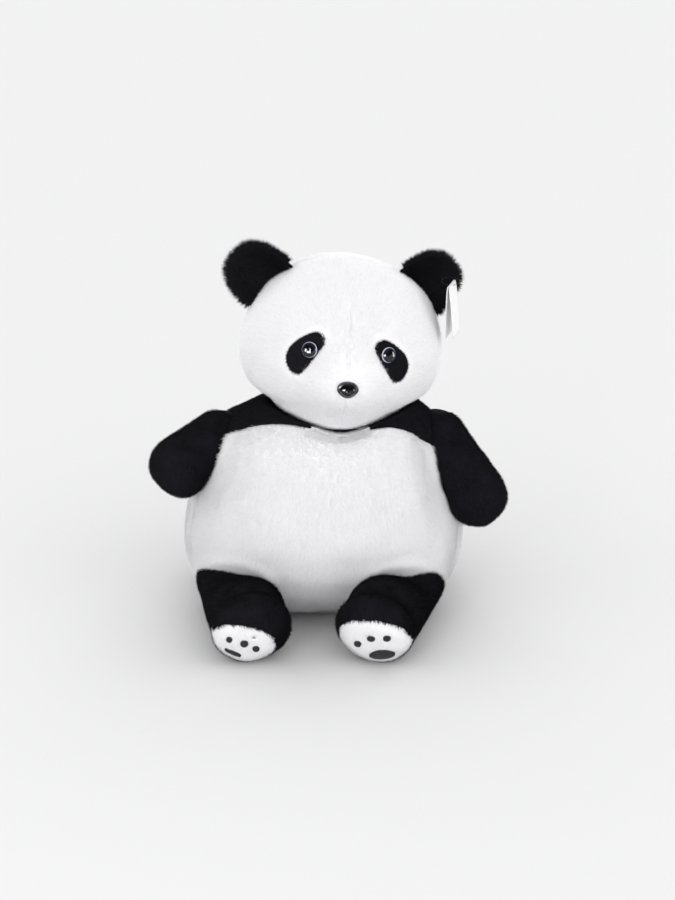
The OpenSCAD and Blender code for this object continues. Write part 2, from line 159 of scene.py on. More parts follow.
def cloth(name, c0, c1, scale=60, rough=0.95, spec=0.1, sheen=0.2, bump=0.0006, fine=900):
    """backing cloth: mottled colour and a fine knit bump"""
    m, nt, b = principled(name)
    b.inputs["Roughness"].default_value = rough
    b.inputs["Specular IOR Level"].default_value = spec
    b.inputs["Sheen Weight"].default_value = sheen
    tc = nt.nodes.new("ShaderNodeTexCoord")
    n1 = nt.nodes.new("ShaderNodeTexNoise"); n1.inputs["Scale"].default_value = scale; n1.inputs["Detail"].default_value = 5
    r = nt.nodes.new("ShaderNodeValToRGB")
    r.color_ramp.elements[0].position = 0.35; r.color_ramp.elements[0].color = (*c0, 1)
    r.color_ramp.elements[1].position = 0.65; r.color_ramp.elements[1].color = (*c1, 1)
    n2 = nt.nodes.new("ShaderNodeTexNoise"); n2.inputs["Scale"].default_value = fine; n2.inputs["Detail"].default_value = 3
    bp = nt.nodes.new("ShaderNodeBump"); bp.inputs["Strength"].default_value = 0.6; bp.inputs["Distance"].default_value = bump
    L = nt.links.new
    L(tc.outputs["Object"], n1.inputs["Vector"]); L(tc.outputs["Object"], n2.inputs["Vector"])
    L(n1.outputs["Fac"], r.inputs["Fac"]); L(r.outputs["Color"], b.inputs["Base Color"])
    L(n2.outputs["Fac"], bp.inputs["Height"]); L(bp.outputs["Normal"], b.inputs["Normal"])
    return m

WHITE_SKIN = cloth("white_backing", (0.94, 0.935, 0.955), (0.965, 0.96, 0.975), sheen=0.0, spec=0.03)
# painted shade: a grey backing, darker than the white cloth, for the strip under the chin where the head shades it
NECK_SHADE_CLOTH = cloth("neck_edge_painted_shade", (0.80, 0.80, 0.82), (0.86, 0.86, 0.88), sheen=0.0, spec=0.03)
BLACK_SKIN = cloth("black_backing", (0.004, 0.004, 0.006), (0.010, 0.009, 0.013), spec=0.05, sheen=0.02)
WHITE_PILE = [plain("white_pile_%d" % i, c, 0.95, 0.05, 0.0) for i, c in enumerate(
    [(0.975, 0.970, 0.99), (0.945, 0.94, 0.96), (0.985, 0.98, 0.995), (0.885, 0.88, 0.90)])]
# painted shade: this root colour is darker than the white pile and stands for the shade deep down among the tufts
WHITE_ROOT_SHADE = [plain("white_root_painted_shade", (0.86, 0.86, 0.89), 1.0, 0.05)]
BLACK_PILE = [plain("black_pile_%d" % i, c, 0.8, 0.06, 0.0) for i, c in enumerate(
    [(0.0085, 0.0080, 0.0115), (0.0065, 0.0060, 0.0090), (0.0115, 0.0108, 0.0155), (0.0090, 0.0085, 0.0125)])]
# painted shade: this root colour is darker than the black pile and stands for the shade deep down among the tufts
BLACK_ROOT_SHADE = [plain("black_root_painted_shade", (0.003, 0.003, 0.004), 1.0, 0.02)]
PAD_PILE = [plain("pad_pile_%d" % i, c, 0.8, 0.15, 0.1) for i, c in enumerate(
    [(0.030, 0.029, 0.036), (0.022, 0.021, 0.027), (0.040, 0.038, 0.046)])]
PAD_SKIN = cloth("pad_backing", (0.018, 0.017, 0.022), (0.030, 0.028, 0.034), scale=200)

# ------------------------------------------------------------------ pile
COUNT = {}
def tufts(name, G, N, wrap, per_mm2, length, comb, mats, root, body, seed, thick=0.31, lean=50,
          keep=None, longer=None, jitter=0.30, sink=0.6, soft=0.86):
    """real tapered tufts of pile over a grid of points (mm); comb(p) gives the way the pile lies.
    Each tuft is shaded mostly along the skin's own normal, so that the pile reads as one soft surface"""
    r = np.random.RandomState(seed % 100000)
    nr, nc = G.shape[:2]
    Q = grid_quads(nr, nc, wrap)
    T = np.concatenate([Q[:, [0, 1, 2]], Q[:, [0, 2, 3]]])
    P = G.reshape(-1, 3); NN = N.reshape(-1, 3)
    a, b, c = P[T[:, 0]], P[T[:, 1]], P[T[:, 2]]
    area = np.linalg.norm(np.cross(b - a, c - a), axis=1) / 2
    n = int(area.sum() * per_mm2)
    # one tuft in each equal share of the area, so that the pile is even
    cum = np.cumsum(area) / area.sum()
    t = np.searchsorted(cum, (np.arange(n) + r.uniform(0, 1, n)) / n).clip(0, len(T) - 1)
    u, v = r.uniform(size=n), r.uniform(size=n)
    f = u + v > 1; u[f], v[f] = 1 - u[f], 1 - v[f]
    w = 1 - u - v
    p = a[t] * w[:, None] + b[t] * u[:, None] + c[t] * v[:, None]
    nn = unit(NN[T[t, 0]] * w[:, None] + NN[T[t, 1]] * u[:, None] + NN[T[t, 2]] * v[:, None])
    if keep is not None:
        k = keep(p); p, nn = p[k], nn[k]
    n = len(p)
    COUNT[name] = n
    L = length * r.uniform(0.75, 1.2, n)
    if longer is not None:
        L = L * longer(p)
    cd = comb(p); cd = unit(cd - (cd * nn).sum(1, keepdims=True) * nn)
    e = np.cross(nn, cd)
    th = np.radians(lean) * r.uniform(0.75, 1.2, n)
    sw = r.normal(0, jitter, n)
    cd = cd * np.cos(sw)[:, None] + e * np.sin(sw)[:, None]; e = np.cross(nn, cd)
    d0 = nn * np.cos(th)[:, None] + cd * np.sin(th)[:, None]
    b0 = p - nn * sink
    tip = b0 + d0 * L[:, None]
    side = e; up = np.cross(d0, side)
    rad = thick * r.uniform(0.8, 1.25, n)
    V, NV = [], []
    for k in range(3):
        an = k * 2 * math.pi / 3 + 0.5
        o_ = side * math.cos(an) * 1.3 + up * math.sin(an) * 0.8
        V.append(b0 + o_ * rad[:, None])
        NV.append(nn * soft + unit(o_) * (1 - soft))
    V.append(tip); NV.append(nn * soft + cd * (0.4 * (1 - soft)) + r.normal(0, 0.06, (n, 3)))
    V = np.stack(V, 1); NV = np.stack(NV, 1)
    V[:, :, 2] = np.maximum(V[:, :, 2], 0.3 + 0.05 * np.arange(4))
    o = np.arange(n)[:, None] * 4
    tris = np.concatenate([o + A([0, 1, 3]), o + A([1, 2, 3]), o + A([2, 0, 3]), o + A([2, 1, 0])])
    tone = np.tile(r.randint(0, len(mats), n), 4)
    ob = mesh(name, V.reshape(-1, 3), [tris], list(mats), [tone], smooth=True, normals=NV.reshape(-1, 3))
    return place(ob, body)

# ------------------------------------------------------------------ cloth simulation
def inflate(name, G, N, hold, pressure, cap, frames=20):
    """Runs a cloth simulation of the closed cover: the seams and roots are held, stuffing presses from the
    inside. Gives back how far each point of the grid moves along its normal, at most `cap` mm.
    hold: 1 where the cover is sewn down, 0 where it is free."""
    nr, nc = G.shape[:2]
    ci = np.arange(0, nc, 3); ri = np.unique(np.round(np.linspace(0, nr - 1, max(16, nr // 2))).astype(int))
    g = G[np.ix_(ri, ci)]; h = hold[np.ix_(ri, ci)]
    a, b = g.shape[:2]
    V = np.concatenate([g.reshape(-1, 3), [g[0].mean(0)], [g[-1].mean(0)]])
    j = np.arange(b); k = (j + 1) % b
    lo = np.stack([k, j, np.full(b, a * b)], -1); hi = np.stack([(a - 1) * b + j, (a - 1) * b + k, np.full(b, a * b + 1)], -1)
    me = bpy.data.meshes.new(name + "_sim")
    me.from_pydata((V * MM).tolist(), [], grid_quads(a, b, True).tolist() + lo.tolist() + hi.tolist())
    ob = bpy.data.objects.new(name + "_sim", me); bpy.context.scene.collection.objects.link(ob)
    vg = ob.vertex_groups.new(name="hold")
    w = np.concatenate([h.ravel(), [1, 1]])
    for i in np.nonzero(w > 0.02)[0]:
        vg.add([int(i)], float(min(1.0, w[i])), "REPLACE")
    m = ob.modifiers.new("cloth", "CLOTH")
    c = m.settings
    c.quality = 6; c.mass = 0.25; c.time_scale = 1.0
    c.tension_stiffness = c.compression_stiffness = 12; c.shear_stiffness = 6; c.bending_stiffness = 0.6
    c.use_pressure = True; c.uniform_pressure_force = pressure; c.use_pressure_volume = False
    c.vertex_group_mass = "hold"; c.pin_stiffness = 1.0
    c.effector_weights.gravity = 0.0
    m.collision_settings.use_collision = False; m.collision_settings.use_self_collision = False
    sc_ = bpy.context.scene
    m.point_cache.frame_start = 1; m.point_cache.frame_end = frames
    for f in range(1, frames + 1):
        sc_.frame_set(f)
    ev = ob.evaluated_get(bpy.context.evaluated_depsgraph_get()); em = ev.to_mesh()
    out = np.empty(len(em.vertices) * 3, np.float32); em.vertices.foreach_get("co", out); ev.to_mesh_clear()
    sc_.frame_set(1)
    bpy.data.objects.remove(ob, do_unlink=True); bpy.data.meshes.remove(me)
    move = (out.reshape(-1, 3)[:a * b].reshape(a, b, 3) / MM - g)
    d = (move * N[np.ix_(ri, ci)]).sum(-1)
    d = np.nan_to_num(d)
    print("SIM", name, "moved %.2f to %.2f mm" % (d.min(), d.max()))
    d = cap * np.tanh(d / cap)
    # back to the full grid
    full = np.empty((nr, b))
    for q in range(b):
        full[:, q] = np.interp(np.arange(nr), ri, d[:, q])
    out2 = np.empty((nr, nc))
    xs = np.arange(nc)
    for q in range(nr):
        out2[q] = np.interp(xs, np.concatenate([ci, [nc]]), np.concatenate([full[q], full[q, :1]]))
    return out2

FILL = cloth("fibre_fill", (0.86, 0.85, 0.80), (0.94, 0.93, 0.90), scale=90, bump=0.002, fine=300)
def stuffing(name, G, N, depth, body, rep):
    """the fibre fill inside a cover: the cover's own surface, `depth` mm further in, closed at both ends"""
    g = (G - N * depth)[::2, ::3] if len(G) % 2 else np.concatenate([(G - N * depth)[::2, ::3], (G - N * depth)[-1:, ::3]])
    a, b = g.shape[:2]
    V = np.concatenate([g.reshape(-1, 3), [g[0].mean(0)], [g[-1].mean(0)]])
    j = np.arange(b); k = (j + 1) % b
    lo = np.stack([k, j, np.full(b, a * b)], -1); hi = np.stack([(a - 1) * b + j, (a - 1) * b + k, np.full(b, a * b + 1)], -1)
    ob = mesh(name, V, [grid_quads(a, b, True), np.concatenate([lo, hi])], [FILL])
    return place(ob, body, (rep,))

# ------------------------------------------------------------------ torso
P0 = A([17.0, -11.0, 265.0])
SL, TL = A([-104.0, -16, 169]), A([-141.0, -52, 153])
SR, TR = A([114.0, -12, 168]), A([152.0, -52, 122])
HL, FL = A([-90.0, -64, 37]), A([-70.0, -172, 37])
HR, FR = A([86.0, -62, 37]), A([53.0, -172, 37])

HW, HD = 142.0, 124.5
ST = A([[0.4, 74 / HW, 74 / HD, 0, 4], [5, 0.70, 0.74, 0, 3], [14, 0.85, 0.85, 0, 2], [28, 0.96, 0.93, 0, 0],
        [46, 0.995, 0.98, 0, -3], [66, 1, 1.01, 0, -6], [88, 0.99, 1.0, 0, -7], [110, 0.95, 0.96, 0, -7],
        [130, 0.9, 0.905, 0, -7], [148, 0.85, 0.855, 1, -7], [164, 0.8, 0.81, 2, -7], [180, 0.745, 0.755, 4, -8],
        [193, 0.68, 0.69, 8, -9], [203, 0.605, 0.63, 13, -10], [211.8, 73.2 / HW, 73.2 / HD, 17, -11]])
ZRIM = 211.8

def hollow(u):
    return np.exp(-((((np.asarray(u, float) + 180) % 360) - 180) / 33) ** 2)

def torso_at(u, z):
    k = [pchip(z, ST[:, 0], ST[:, i]) for i in range(1, 5)]
    a = np.radians(u)
    s, c = np.sin(a), np.cos(a)
    n = 2.18
    f = (np.abs(s) ** n + np.abs(c) ** n) ** (-1 / n)
    f = 1 + (f - 1) * ease(0, 40, z) * (1 - ease(170, 205, z))
    w = hollow(u)
    t1, t0 = math.radians(53.55), np.radians(53.55 * (1 - 0.35 * w))
    dr = 91 * (np.sin(t0) - math.sin(t1)); dz = 91 * (math.cos(t1) - np.cos(t0)) + 17 * w
    g = ease(190, ZRIM, z); g2 = ease(199, ZRIM, z)
    low = 1 - 0.11 * np.exp(-((((np.asarray(u, float) + 180) % 360) - 180) / 30) ** 2) * (1 - ease(6, 44, z))
    x = k[2] + k[0] * HW * s * f + dr * s * g
    y = k[3] - k[1] * HD * c * f * low - dr * c * g
    return np.stack([x, y, z - 17 * ease(140, 205, z) * w + dz * g2], -1)

def white_top(u):
    """height (before the chin's hollow) at which the white panels meet the black yoke, round the body"""
    v = ((np.asarray(u, float) + 180) % 360) - 180
    a = np.abs(v)
    AN = [0, 22, 32, 45, 58, 66, 73, 82, 92, 110, 180]
    lft = pchip(a, AN, [ZRIM - 0.2, ZRIM - 0.25, ZRIM - 1.2, 206.8, 198.5, 188, 172, 148, 131, 129, 143])
    rgt = pchip(a, AN, [ZRIM - 0.2, ZRIM - 0.3, ZRIM - 2.5, 202, 188.5, 177, 163, 146, 131, 129, 143])
    return np.where(v > 0, rgt, lft)

def capsule_dist(p, a, b, ra, rb):
    ab = b - a; t = np.clip(((p - a) @ ab) / (ab @ ab), 0, 1)
    return np.linalg.norm(p - (a + t[..., None] * ab), axis=-1) - (ra + (rb - ra) * t)

lump_a, lump_b, lump_c = waves(3, 70), waves(5, 34), waves(8, 17)
NU = 180
U = np.arange(NU) * 360.0 / NU
def torso_grid():
    rows, kind = [], []
    for k in np.linspace(0.02, 1, 7)[:-1]:
        a = np.radians(U)
        rows.append(np.stack([74 * k * np.sin(a), 4 - 74 * k * np.cos(a), np.full(NU, 0.5)], -1))
    nb = len(rows)
    zb = white_top(U)
    for s in np.linspace(0, 1, 66):
        q = s ** 1.15
        rows.append(torso_at(U, 0.5 + (zb - 0.5) * q))
    nw = len(rows) - 1
    for s in np.linspace(0, 1, 30)[1:]:
        rows.append(torso_at(U, zb + (ZRIM - zb) * s))
    nt = len(rows)
    for al in np.linspace(53.55, 22, 9)[1:]:
        a, t = np.radians(U), np.radians(al * (1 - 0.35 * hollow(U)))
        rows.append(P0 + 88.2 * np.stack([np.sin(t) * np.sin(a), -np.sin(t) * np.cos(a), -np.cos(t)], -1))
    return np.stack(rows), nb, nw, nt
TG, nb, nw, nt = torso_grid()

def relax(G, times, lo, hi, w=0.5):
    for _ in range(times):
        m = (np.roll(G, 1, 1) + np.roll(G, -1, 1)) / 4
        m[1:-1] += (G[:-2] + G[2:])[:, :] / 4
        G[lo:hi] = G[lo:hi] * (1 - w) + m[lo:hi] * w
    return G
TG = relax(TG, 4, nb + 1, nt + 3)
def calm(N):
    """where the black band narrows to nothing its rows are crowded: they take the belly's normal"""
    w = (1 - ease(6, 13, np.linalg.norm(TG[nt - 1] - TG[nw], axis=-1)))[:, None]
    for i in range(nw, nt):
        N[i] = unit(N[i] * (1 - w) + N[nw - 2] * w)
    return N
TN = calm(grid_normals(TG, True))
def seam_u(u0, width=3.0):
    d = np.abs(((U - u0 + 180) % 360) - 180)[None, :] * math.pi / 180 * np.linalg.norm(TG[..., :2], axis=-1)
    return np.exp(-(d / width) ** 2)
zz = TG[..., 2]
side_on = np.zeros_like(zz); side_on[nb:] = 1
lower = np.zeros_like(zz); lower[nb:nw + 1] = 1
d = lump_a(TG) * 1.5 + lump_b(TG) * 0.7 + lump_c(TG) * 0.25
d = d * ease(2, 22, zz)
for s0, w0, dep in ((0, 3.0, 0.45), (72, 3.5, 2.2), (288, 3.5, 2.2), (180, 3.5, 2.2)):
    d -= dep * seam_u(s0, w0) * lower * ease(3, 16, zz)
row_d = np.linalg.norm(TG - TG[nw][None], axis=-1)
front = np.exp(-((((U + 180) % 360) - 180) / 30.0) ** 2)[None, :]
d -= 1.8 * np.exp(-(row_d / 4.0) ** 2) * side_on * (1 - 0.8 * front)
# cloth is drawn up to each limb where it is sewn on, and swells just before it
for a, b, ra, rb, k, dent in ((SL, TL, 30, 31, 20, 0), (SR, TR, 30, 31, 20, 0), (HL, FL, 37, 37, 12, 0), (HR, FR, 37, 37, 12, 0)):
    q = capsule_dist(TG, a, b, ra, rb)
    fil = np.where(np.abs(q) < k, (k - np.abs(q)) ** 2 / (4 * k), 0)
    d += fil * side_on
d *= np.where(np.arange(TG.shape[0]) >= nt, 0, 1)[:, None]
hold = np.zeros_like(zz)
for s0 in (0, 72, 180, 288):
    hold = np.maximum(hold, seam_u(s0, 5.0) * lower)
hold = np.maximum(hold, np.exp(-(row_d / 5.0) ** 2) * side_on)
hold[:nb + 3] = 1; hold[nt - 1:] = 1
for a, b, ra, rb in ((SL, TL, 30, 31), (SR, TR, 30, 31), (HL, FL, 37, 37), (HR, FR, 37, 37)):
    hold = np.maximum(hold, capsule_dist(TG, a, b, ra, rb) < 2)
swell = inflate("torso", TG, TN, hold, 3.0, 3.0)
TG = TG + TN * (d + swell * side_on)[..., None]
TG = TG - TN * 1.2 * side_on[..., None]
TG[..., 2] = np.maximum(TG[..., 2], 0.5)
TN = calm(grid_normals(TG, True))

TI = TG - TN * 3.6 * side_on[..., None]
TI[:nb + 1, :, 2] += 3.2
TI[nw + 1:] = TG[nw + 1:] - 8.0 * unit(TG[nw + 1:] - A([8, -10, 130.0]))
q = np.linalg.norm(TI - P0, axis=-1)
TI = np.where(((q < 92.5) & (np.arange(TI.shape[0]) > nw)[:, None])[..., None], P0 + 92.5 * unit(TI - P0), TI)
stuffing("body_fill_fibre", TI, TN, 0.0, "torso", "body_stuffing")

# under the chin the pile stands forward rather than straight up from the cloth
TS = unit(TN + A([0, -1.0, 0]) * (0.5 * ease(0.45, 0.9, TN[..., 2]) * front * side_on)[..., None])

def cols(lo, hi):
    return np.arange(int(lo / 2), int(hi / 2) + 1) % NU
def rows(G, i0, i1, c):
    return G[i0:i1 + 1][:, c]

def in_limb(p, margin=-4):
    q = np.minimum.reduce([capsule_dist(p, SL, TL, 30, 31), capsule_dist(p, SR, TR, 30, 31),
                           capsule_dist(p, HL, FL, 37, 37) + 14, capsule_dist(p, HR, FR, 37, 37) + 14])
    return q < margin
clear = lambda p: ~in_limb(p) & (np.linalg.norm(p - P0, axis=1) > 87.9)
swirl_x, swirl_y = waves(21, 60), waves(22, 60)
def comb_down(p):
    out = unit(p - A([8, -10, 0]) * 1.0 - np.stack([p[:, 0] * 0, p[:, 1] * 0, p[:, 2]], -1))
    return out * 0.6 + np.stack([swirl_x(p) * 0.3, swirl_y(p) * 0.3, np.full(len(p), -1.0)], -1)
def near_seam(p):
    u = np.degrees(np.arctan2(p[:, 0], -p[:, 1]))
    r = np.linalg.norm(p[:, :2], axis=1)
    k = np.ones(len(p))
    for s0, w0, c in ((0, 1.6, 0.12), (72, 2.2, 0.45), (-72, 2.2, 0.45), (180, 2.2, 0.45), (-180, 2.2, 0.45)):
        k -= c * np.exp(-((np.abs(u - s0) * math.pi / 180 * r) / w0) ** 2)
    return np.clip(k, 0.35, 1)

panels = (("belly_panel", nb, nw, (-72, 72), WHITE_SKIN, ("belly_panel",)),
          ("back_panel_right", nb, nw, (72, 180), WHITE_SKIN, ("back_panel_right",)),
          ("back_panel_left", nb, nw, (180, 288), WHITE_SKIN, ("back_panel_left",)),
          ("chest_yoke", nw, nt + 8, (-72, 72), BLACK_SKIN, ("chest_yoke",)),
          ("back_yoke", nw, nt + 8, (72, 288), BLACK_SKIN, ("back_yoke",)))
for nm, i0, i1, (c0, c1), mat, rep in panels:
    i1 = min(i1, TG.shape[0] - 1)
    c = np.arange(c0 // 2, c1 // 2 + 1) % NU
    white = mat is WHITE_SKIN
    if nm == "chest_yoke":
        # the belly's white runs on up to the chin between two black shoulders
        # the middle strip takes the grey backing, painted shade under the chin
        for suf, d0, d1, m2 in (("_left", -72, -26, BLACK_SKIN), ("_middle", -26, 26, NECK_SHADE_CLOTH), ("_right", 26, 72, BLACK_SKIN)):
            c2 = np.arange(d0 // 2, d1 // 2 + 1) % NU
            sk = shell(nm + suf + "_cloth", TG[i0:i1 + 1][:, c2], TN[i0:i1 + 1][:, c2], 1.4, [m2], body="torso",
                       stands_for=rep if suf == "_left" else ())
    else:
        sk = shell(nm + "_cloth", TG[i0:i1 + 1][:, c], TN[i0:i1 + 1][:, c], 1.4, [mat], body="torso",
                   stands_for=rep)
    parts = [(c0, c1, "")]
    if nm == "belly_panel":
        parts = [(-72, 0, "_l"), (0, 72, "_r")]
    if nm == "back_yoke":
        parts = [(72, 180, "_r"), (180, 288, "_l")]
    for k, (a0, a1, suf) in enumerate(parts):
        cc = np.arange(a0 // 2, a1 // 2 + 1) % NU
        j1 = i1 if white else min(nt + 2, i1)
        tufts(nm + "_pile" + suf, TG[i0:j1 + 1][:, cc], TS[i0:j1 + 1][:, cc], False, 1.15 if white else 0.9, 5.0 if white else 4.6,
              comb_down, WHITE_PILE if white else BLACK_PILE, WHITE_ROOT_SHADE if white else BLACK_ROOT_SHADE, "torso",
              100 + a0 + i0, longer=near_seam,
              keep=clear if nm != "chest_yoke" else (lambda p: clear(p) & (np.abs(np.degrees(np.arctan2(p[:, 0] - 14, -p[:, 1]))) > 25.5)))
fc = np.arange(-13, 14) % NU
front_pile = lambda p: clear(p) & (np.abs(np.degrees(np.arctan2(p[:, 0] - 14, -p[:, 1]))) < 25)
tufts("neckline_front_pile", TG[nw - 2:nt + 2][:, fc], TS[nw - 2:nt + 2][:, fc], False, 1.8, 4.6,
      comb_down, WHITE_PILE, WHITE_ROOT_SHADE, "torso", 777, lean=40, jitter=0.5,
      keep=lambda p: np.linalg.norm(p - P0, axis=1) > 87.5)
# flat seat
base = TG[:nb + 1]
sk = shell("seat_base_cloth", base, TN[:nb + 1] * 0 + A([0, 0, -1.0]), 1.4, [WHITE_SKIN], wrap=True, body="torso", stands_for=("seat_base",))

# ------------------------------------------------------------------ head
RH = rot("z", 5) @ rot("y", 4)
def head_r(dv):
    s = ease(0.35, 0.62, -dv[..., 2])
    a, b = 100 * (1 - s) + 85.7 * s, 88 * (1 - s) + 85.7 * s
    c = np.where(dv[..., 2] > 0, 91.0, 85.7)
    az = np.degrees(np.arctan2(dv[..., 0], -dv[..., 1])); el = np.degrees(np.arcsin(np.clip(dv[..., 2], -1, 1)))
    return 1 / np.sqrt((dv[..., 0] / a) ** 2 + (dv[..., 1] / b) ** 2 + (dv[..., 2] / c) ** 2) + 4 * np.exp(-(az / 24) ** 2 - ((el + 15) / 17) ** 2)
def look(az, el):
    az, el = np.radians(az), np.radians(el)
    return np.stack([np.sin(az) * np.cos(el), -np.cos(az) * np.cos(el), np.sin(el)], -1)
EYES = {"left": look(-25.3, 11.6), "right": look(25, 10.4)}
NOSE = look(0, -10.5)
hl_a, hl_b = waves(31, 60), waves(33, 24)
def head_skin(dv):
    """distance from the head's centre to the cloth, along unit directions in the head's own frame"""
    r = head_r(dv); p = dv * r[..., None]
    d = hl_a(p) * 1.0 + hl_b(p) * 0.35
    d = d * (1 - ease(0.62, 0.8, -dv[..., 2]))
    for e in EYES.values():
        q = np.linalg.norm(dv - e, axis=-1) * 90
        d -= 1.6 * np.exp(-(q / 13) ** 2)
    q = np.linalg.norm(dv - NOSE, axis=-1) * 90
    d -= 1.1 * np.exp(-(q / 11) ** 2)
    az = np.degrees(np.arctan2(dv[..., 0], -dv[..., 1]))
    x = np.abs(p[..., 0])
    d -= 0.2 * np.exp(-(x / 3.5) ** 2) * (np.abs(az) < 90)
    d -= 1.6 * np.exp(-((np.abs(az) - 100) * math.pi / 180 * np.linalg.norm(p[..., :2], axis=-1) / 3.5) ** 2) * (dv[..., 2] < 0.97)
    return r + d - 0.8
def head_world(p):
    return p @ RH.T + P0
TH = np.concatenate([np.linspace(24, 172, 88), [174.5, 176.5, 178.2, 179.6]])
def head_grid():
    az, th = np.meshgrid(np.radians(U), np.radians(TH))
    dv = np.stack([np.sin(th) * np.sin(az), -np.sin(th) * np.cos(az), -np.cos(th)], -1)
    return dv * head_skin(dv)[..., None]
HG = head_world(head_grid())
HNm = grid_normals(HG, True)
hq = (HG - P0) @ RH; hd = unit(hq)
haz = np.degrees(np.arctan2(hd[..., 0], -hd[..., 1]))
hold = 0.5 * np.exp(-(hq[..., 0] / 7.0) ** 2) * (np.abs(haz) < 90)
hold = np.maximum(hold, np.exp(-((np.abs(haz) - 100) * math.pi / 180 * np.linalg.norm(hq[..., :2], axis=-1) / 5.0) ** 2))
for e_ in list(EYES.values()) + [NOSE]:
    hold = np.maximum(hold, np.exp(-(np.linalg.norm(hd - e_, axis=-1) * 90 / 12) ** 2))
hold[hd[..., 2] < -0.58] = 1; hold[-5:] = 1
swell = inflate("head", HG, HNm, hold, 3.0, 1.6)
HG = HG + HNm * swell[..., None]
HNm = grid_normals(HG, True)

PATCH = A([(24, 21.8), (19.0, 21.0), (16.6, 16.7), (19.6, 10), (23.2, 4.3), (26.8, -1.3), (31, -5.2), (36, -4), (39.2, 0.8), (39.6, 6), (37, 11.8), (31.3, 17.6)])
def closed_curve(C, n):
    """a smooth closed curve through the points of C"""
    k = len(C); out = []
    for s in np.arange(n) * k / n:
        i = int(s); t = s - i
        p0, p1, p2, p3 = C[(i - 1) % k], C[i % k], C[(i + 1) % k], C[(i + 2) % k]
        out.append(0.5 * (2 * p1 + (p2 - p0) * t + (2 * p0 - 5 * p1 + 4 * p2 - p3) * t * t + (3 * p1 - p0 - 3 * p2 + p3) * t ** 3))
    return A(out)
OUT = closed_curve(PATCH, 96)
MID = OUT.mean(0)
DROP = {-1: 0.8, 1: -2.4}
def in_patch(dv, grow=1.0):
    """True inside either eye patch; dv in the head's frame"""
    az = np.degrees(np.arctan2(dv[:, 0], -dv[:, 1])); el = np.degrees(np.arcsin(np.clip(dv[:, 2], -1, 1)))
    el = el - np.where(az > 0, DROP[1], DROP[-1]); az = np.abs(az)
    q = A([az - MID[0], el - MID[1]]).T
    an = np.arctan2(q[:, 1], q[:, 0]); ro = np.linalg.norm(q, axis=1)
    oa = np.arctan2(OUT[:, 1] - MID[1], OUT[:, 0] - MID[0]); orr = np.linalg.norm(OUT - MID, axis=1)
    k = np.argsort(oa)
    lim = np.interp(an, oa[k], orr[k], period=2 * math.pi)
    return (ro < lim * grow) & (dv[:, 1] < 0)
def to_head(p):
    q = (p - P0) @ RH
    return q, unit(q)
def head_keep(p):
    q, dv = to_head(p)
    k = ~in_patch(dv, 0.93)
    k &= np.linalg.norm(dv - NOSE, axis=1) * 90 > 8.0
    k &= dv[:, 2] > -0.74                      # no pile deep in the neck's bowl
    return k
def head_len(p):
    q, dv = to_head(p)
    az = np.degrees(np.arctan2(dv[:, 0], -dv[:, 1]))
    k = np.ones(len(p))
    k -= 0.0 * q[:, 0]
    k -= 0.4 * np.exp(-((np.abs(az) - 100) * math.pi / 180 * np.linalg.norm(q[:, :2], axis=1) / 2.2) ** 2)
    face = np.exp(-(np.linalg.norm(dv - NOSE, axis=1) * 90 / 24) ** 2)
    k *= 1 - 0.45 * face
    k *= 1 - 0.3 * in_patch(dv, 1.25)
    return np.clip(k, 0.35, 1)
def head_comb(p):
    q, dv = to_head(p)
    w = ease(-0.3, 0.5, dv @ NOSE)[:, None]
    c = (dv - NOSE * 0.9) * w + A([0, 0.5, -1.0]) * (1 - w)
    c = c + A([0, 0.35, 0]) + np.stack([swirl_x(p), swirl_y(p), swirl_x(p + 40)], -1) * 0.18
    return c @ RH.T
stuffing("head_fill_fibre", HG, HNm, 3.2, "head", "head_stuffing")
for nm, (c0, c1) in (("face_left", (-100, 0)), ("face_right", (0, 100)), ("head_back", (100, 260))):
    c = np.arange(c0 // 2, c1 // 2 + 1) % NU
    sk = shell(nm + "_cloth", HG[:, c], HNm[:, c], 1.4, [WHITE_SKIN], body="head", stands_for=(nm,))
    tufts(nm + "_pile", HG[:, c], HNm[:, c], False, 1.15, 4.6, head_comb, WHITE_PILE, WHITE_ROOT_SHADE, "head",
          300 + c0, keep=head_keep, longer=head_len, lean=52)

# eye patches: short black pile let into the face
def patch_piece(side):
    s = -1 if side == "left" else 1
    ks = A([0.02, 0.25, 0.45, 0.62, 0.76, 0.87, 0.95, 1.0])
    lift = A([1.7, 1.7, 1.7, 1.65, 1.55, 1.35, 0.95, 0.1])
    G = []
    for k, h in zip(ks, lift):
        q = MID + (OUT - MID) * k
        dv = look(s * q[:, 0], q[:, 1] + DROP[s])
        G.append(dv * (head_skin(dv) + h)[:, None])
    G = head_world(A(G))
    if s > 0:
        G = G[:, ::-1]
    N = grid_normals(G, True)
    c = head_world(look(s * MID[0], MID[1] + DROP[s]) * (head_skin(look(s * MID[0], MID[1] + DROP[s])[None])[0] + 1.7))
    out = unit(c - P0)
    if (N[3] @ out).mean() < 0:
        G = G[:, ::-1]; N = grid_normals(G, True)
    sk = shell("eye_patch_%s_cloth" % side, G, N, 1.2, [BLACK_SKIN], wrap=True, body="head", stands_for=("eye_patch_" + side,))
    e = EYES[side]
    ep = head_world(e * head_r(e[None])[0])
    keep = lambda p: np.linalg.norm(p - ep, axis=1) > 6.8
    comb = lambda p: unit(p - ep) + A([0, 0, -0.5])
    tufts("eye_patch_%s_pile" % side, G, N, True, 1.5, 2.7, comb, BLACK_PILE, BLACK_ROOT_SHADE, "head", 400 + s, thick=0.3, lean=40, keep=keep)
patch_piece("left"); patch_piece("right")

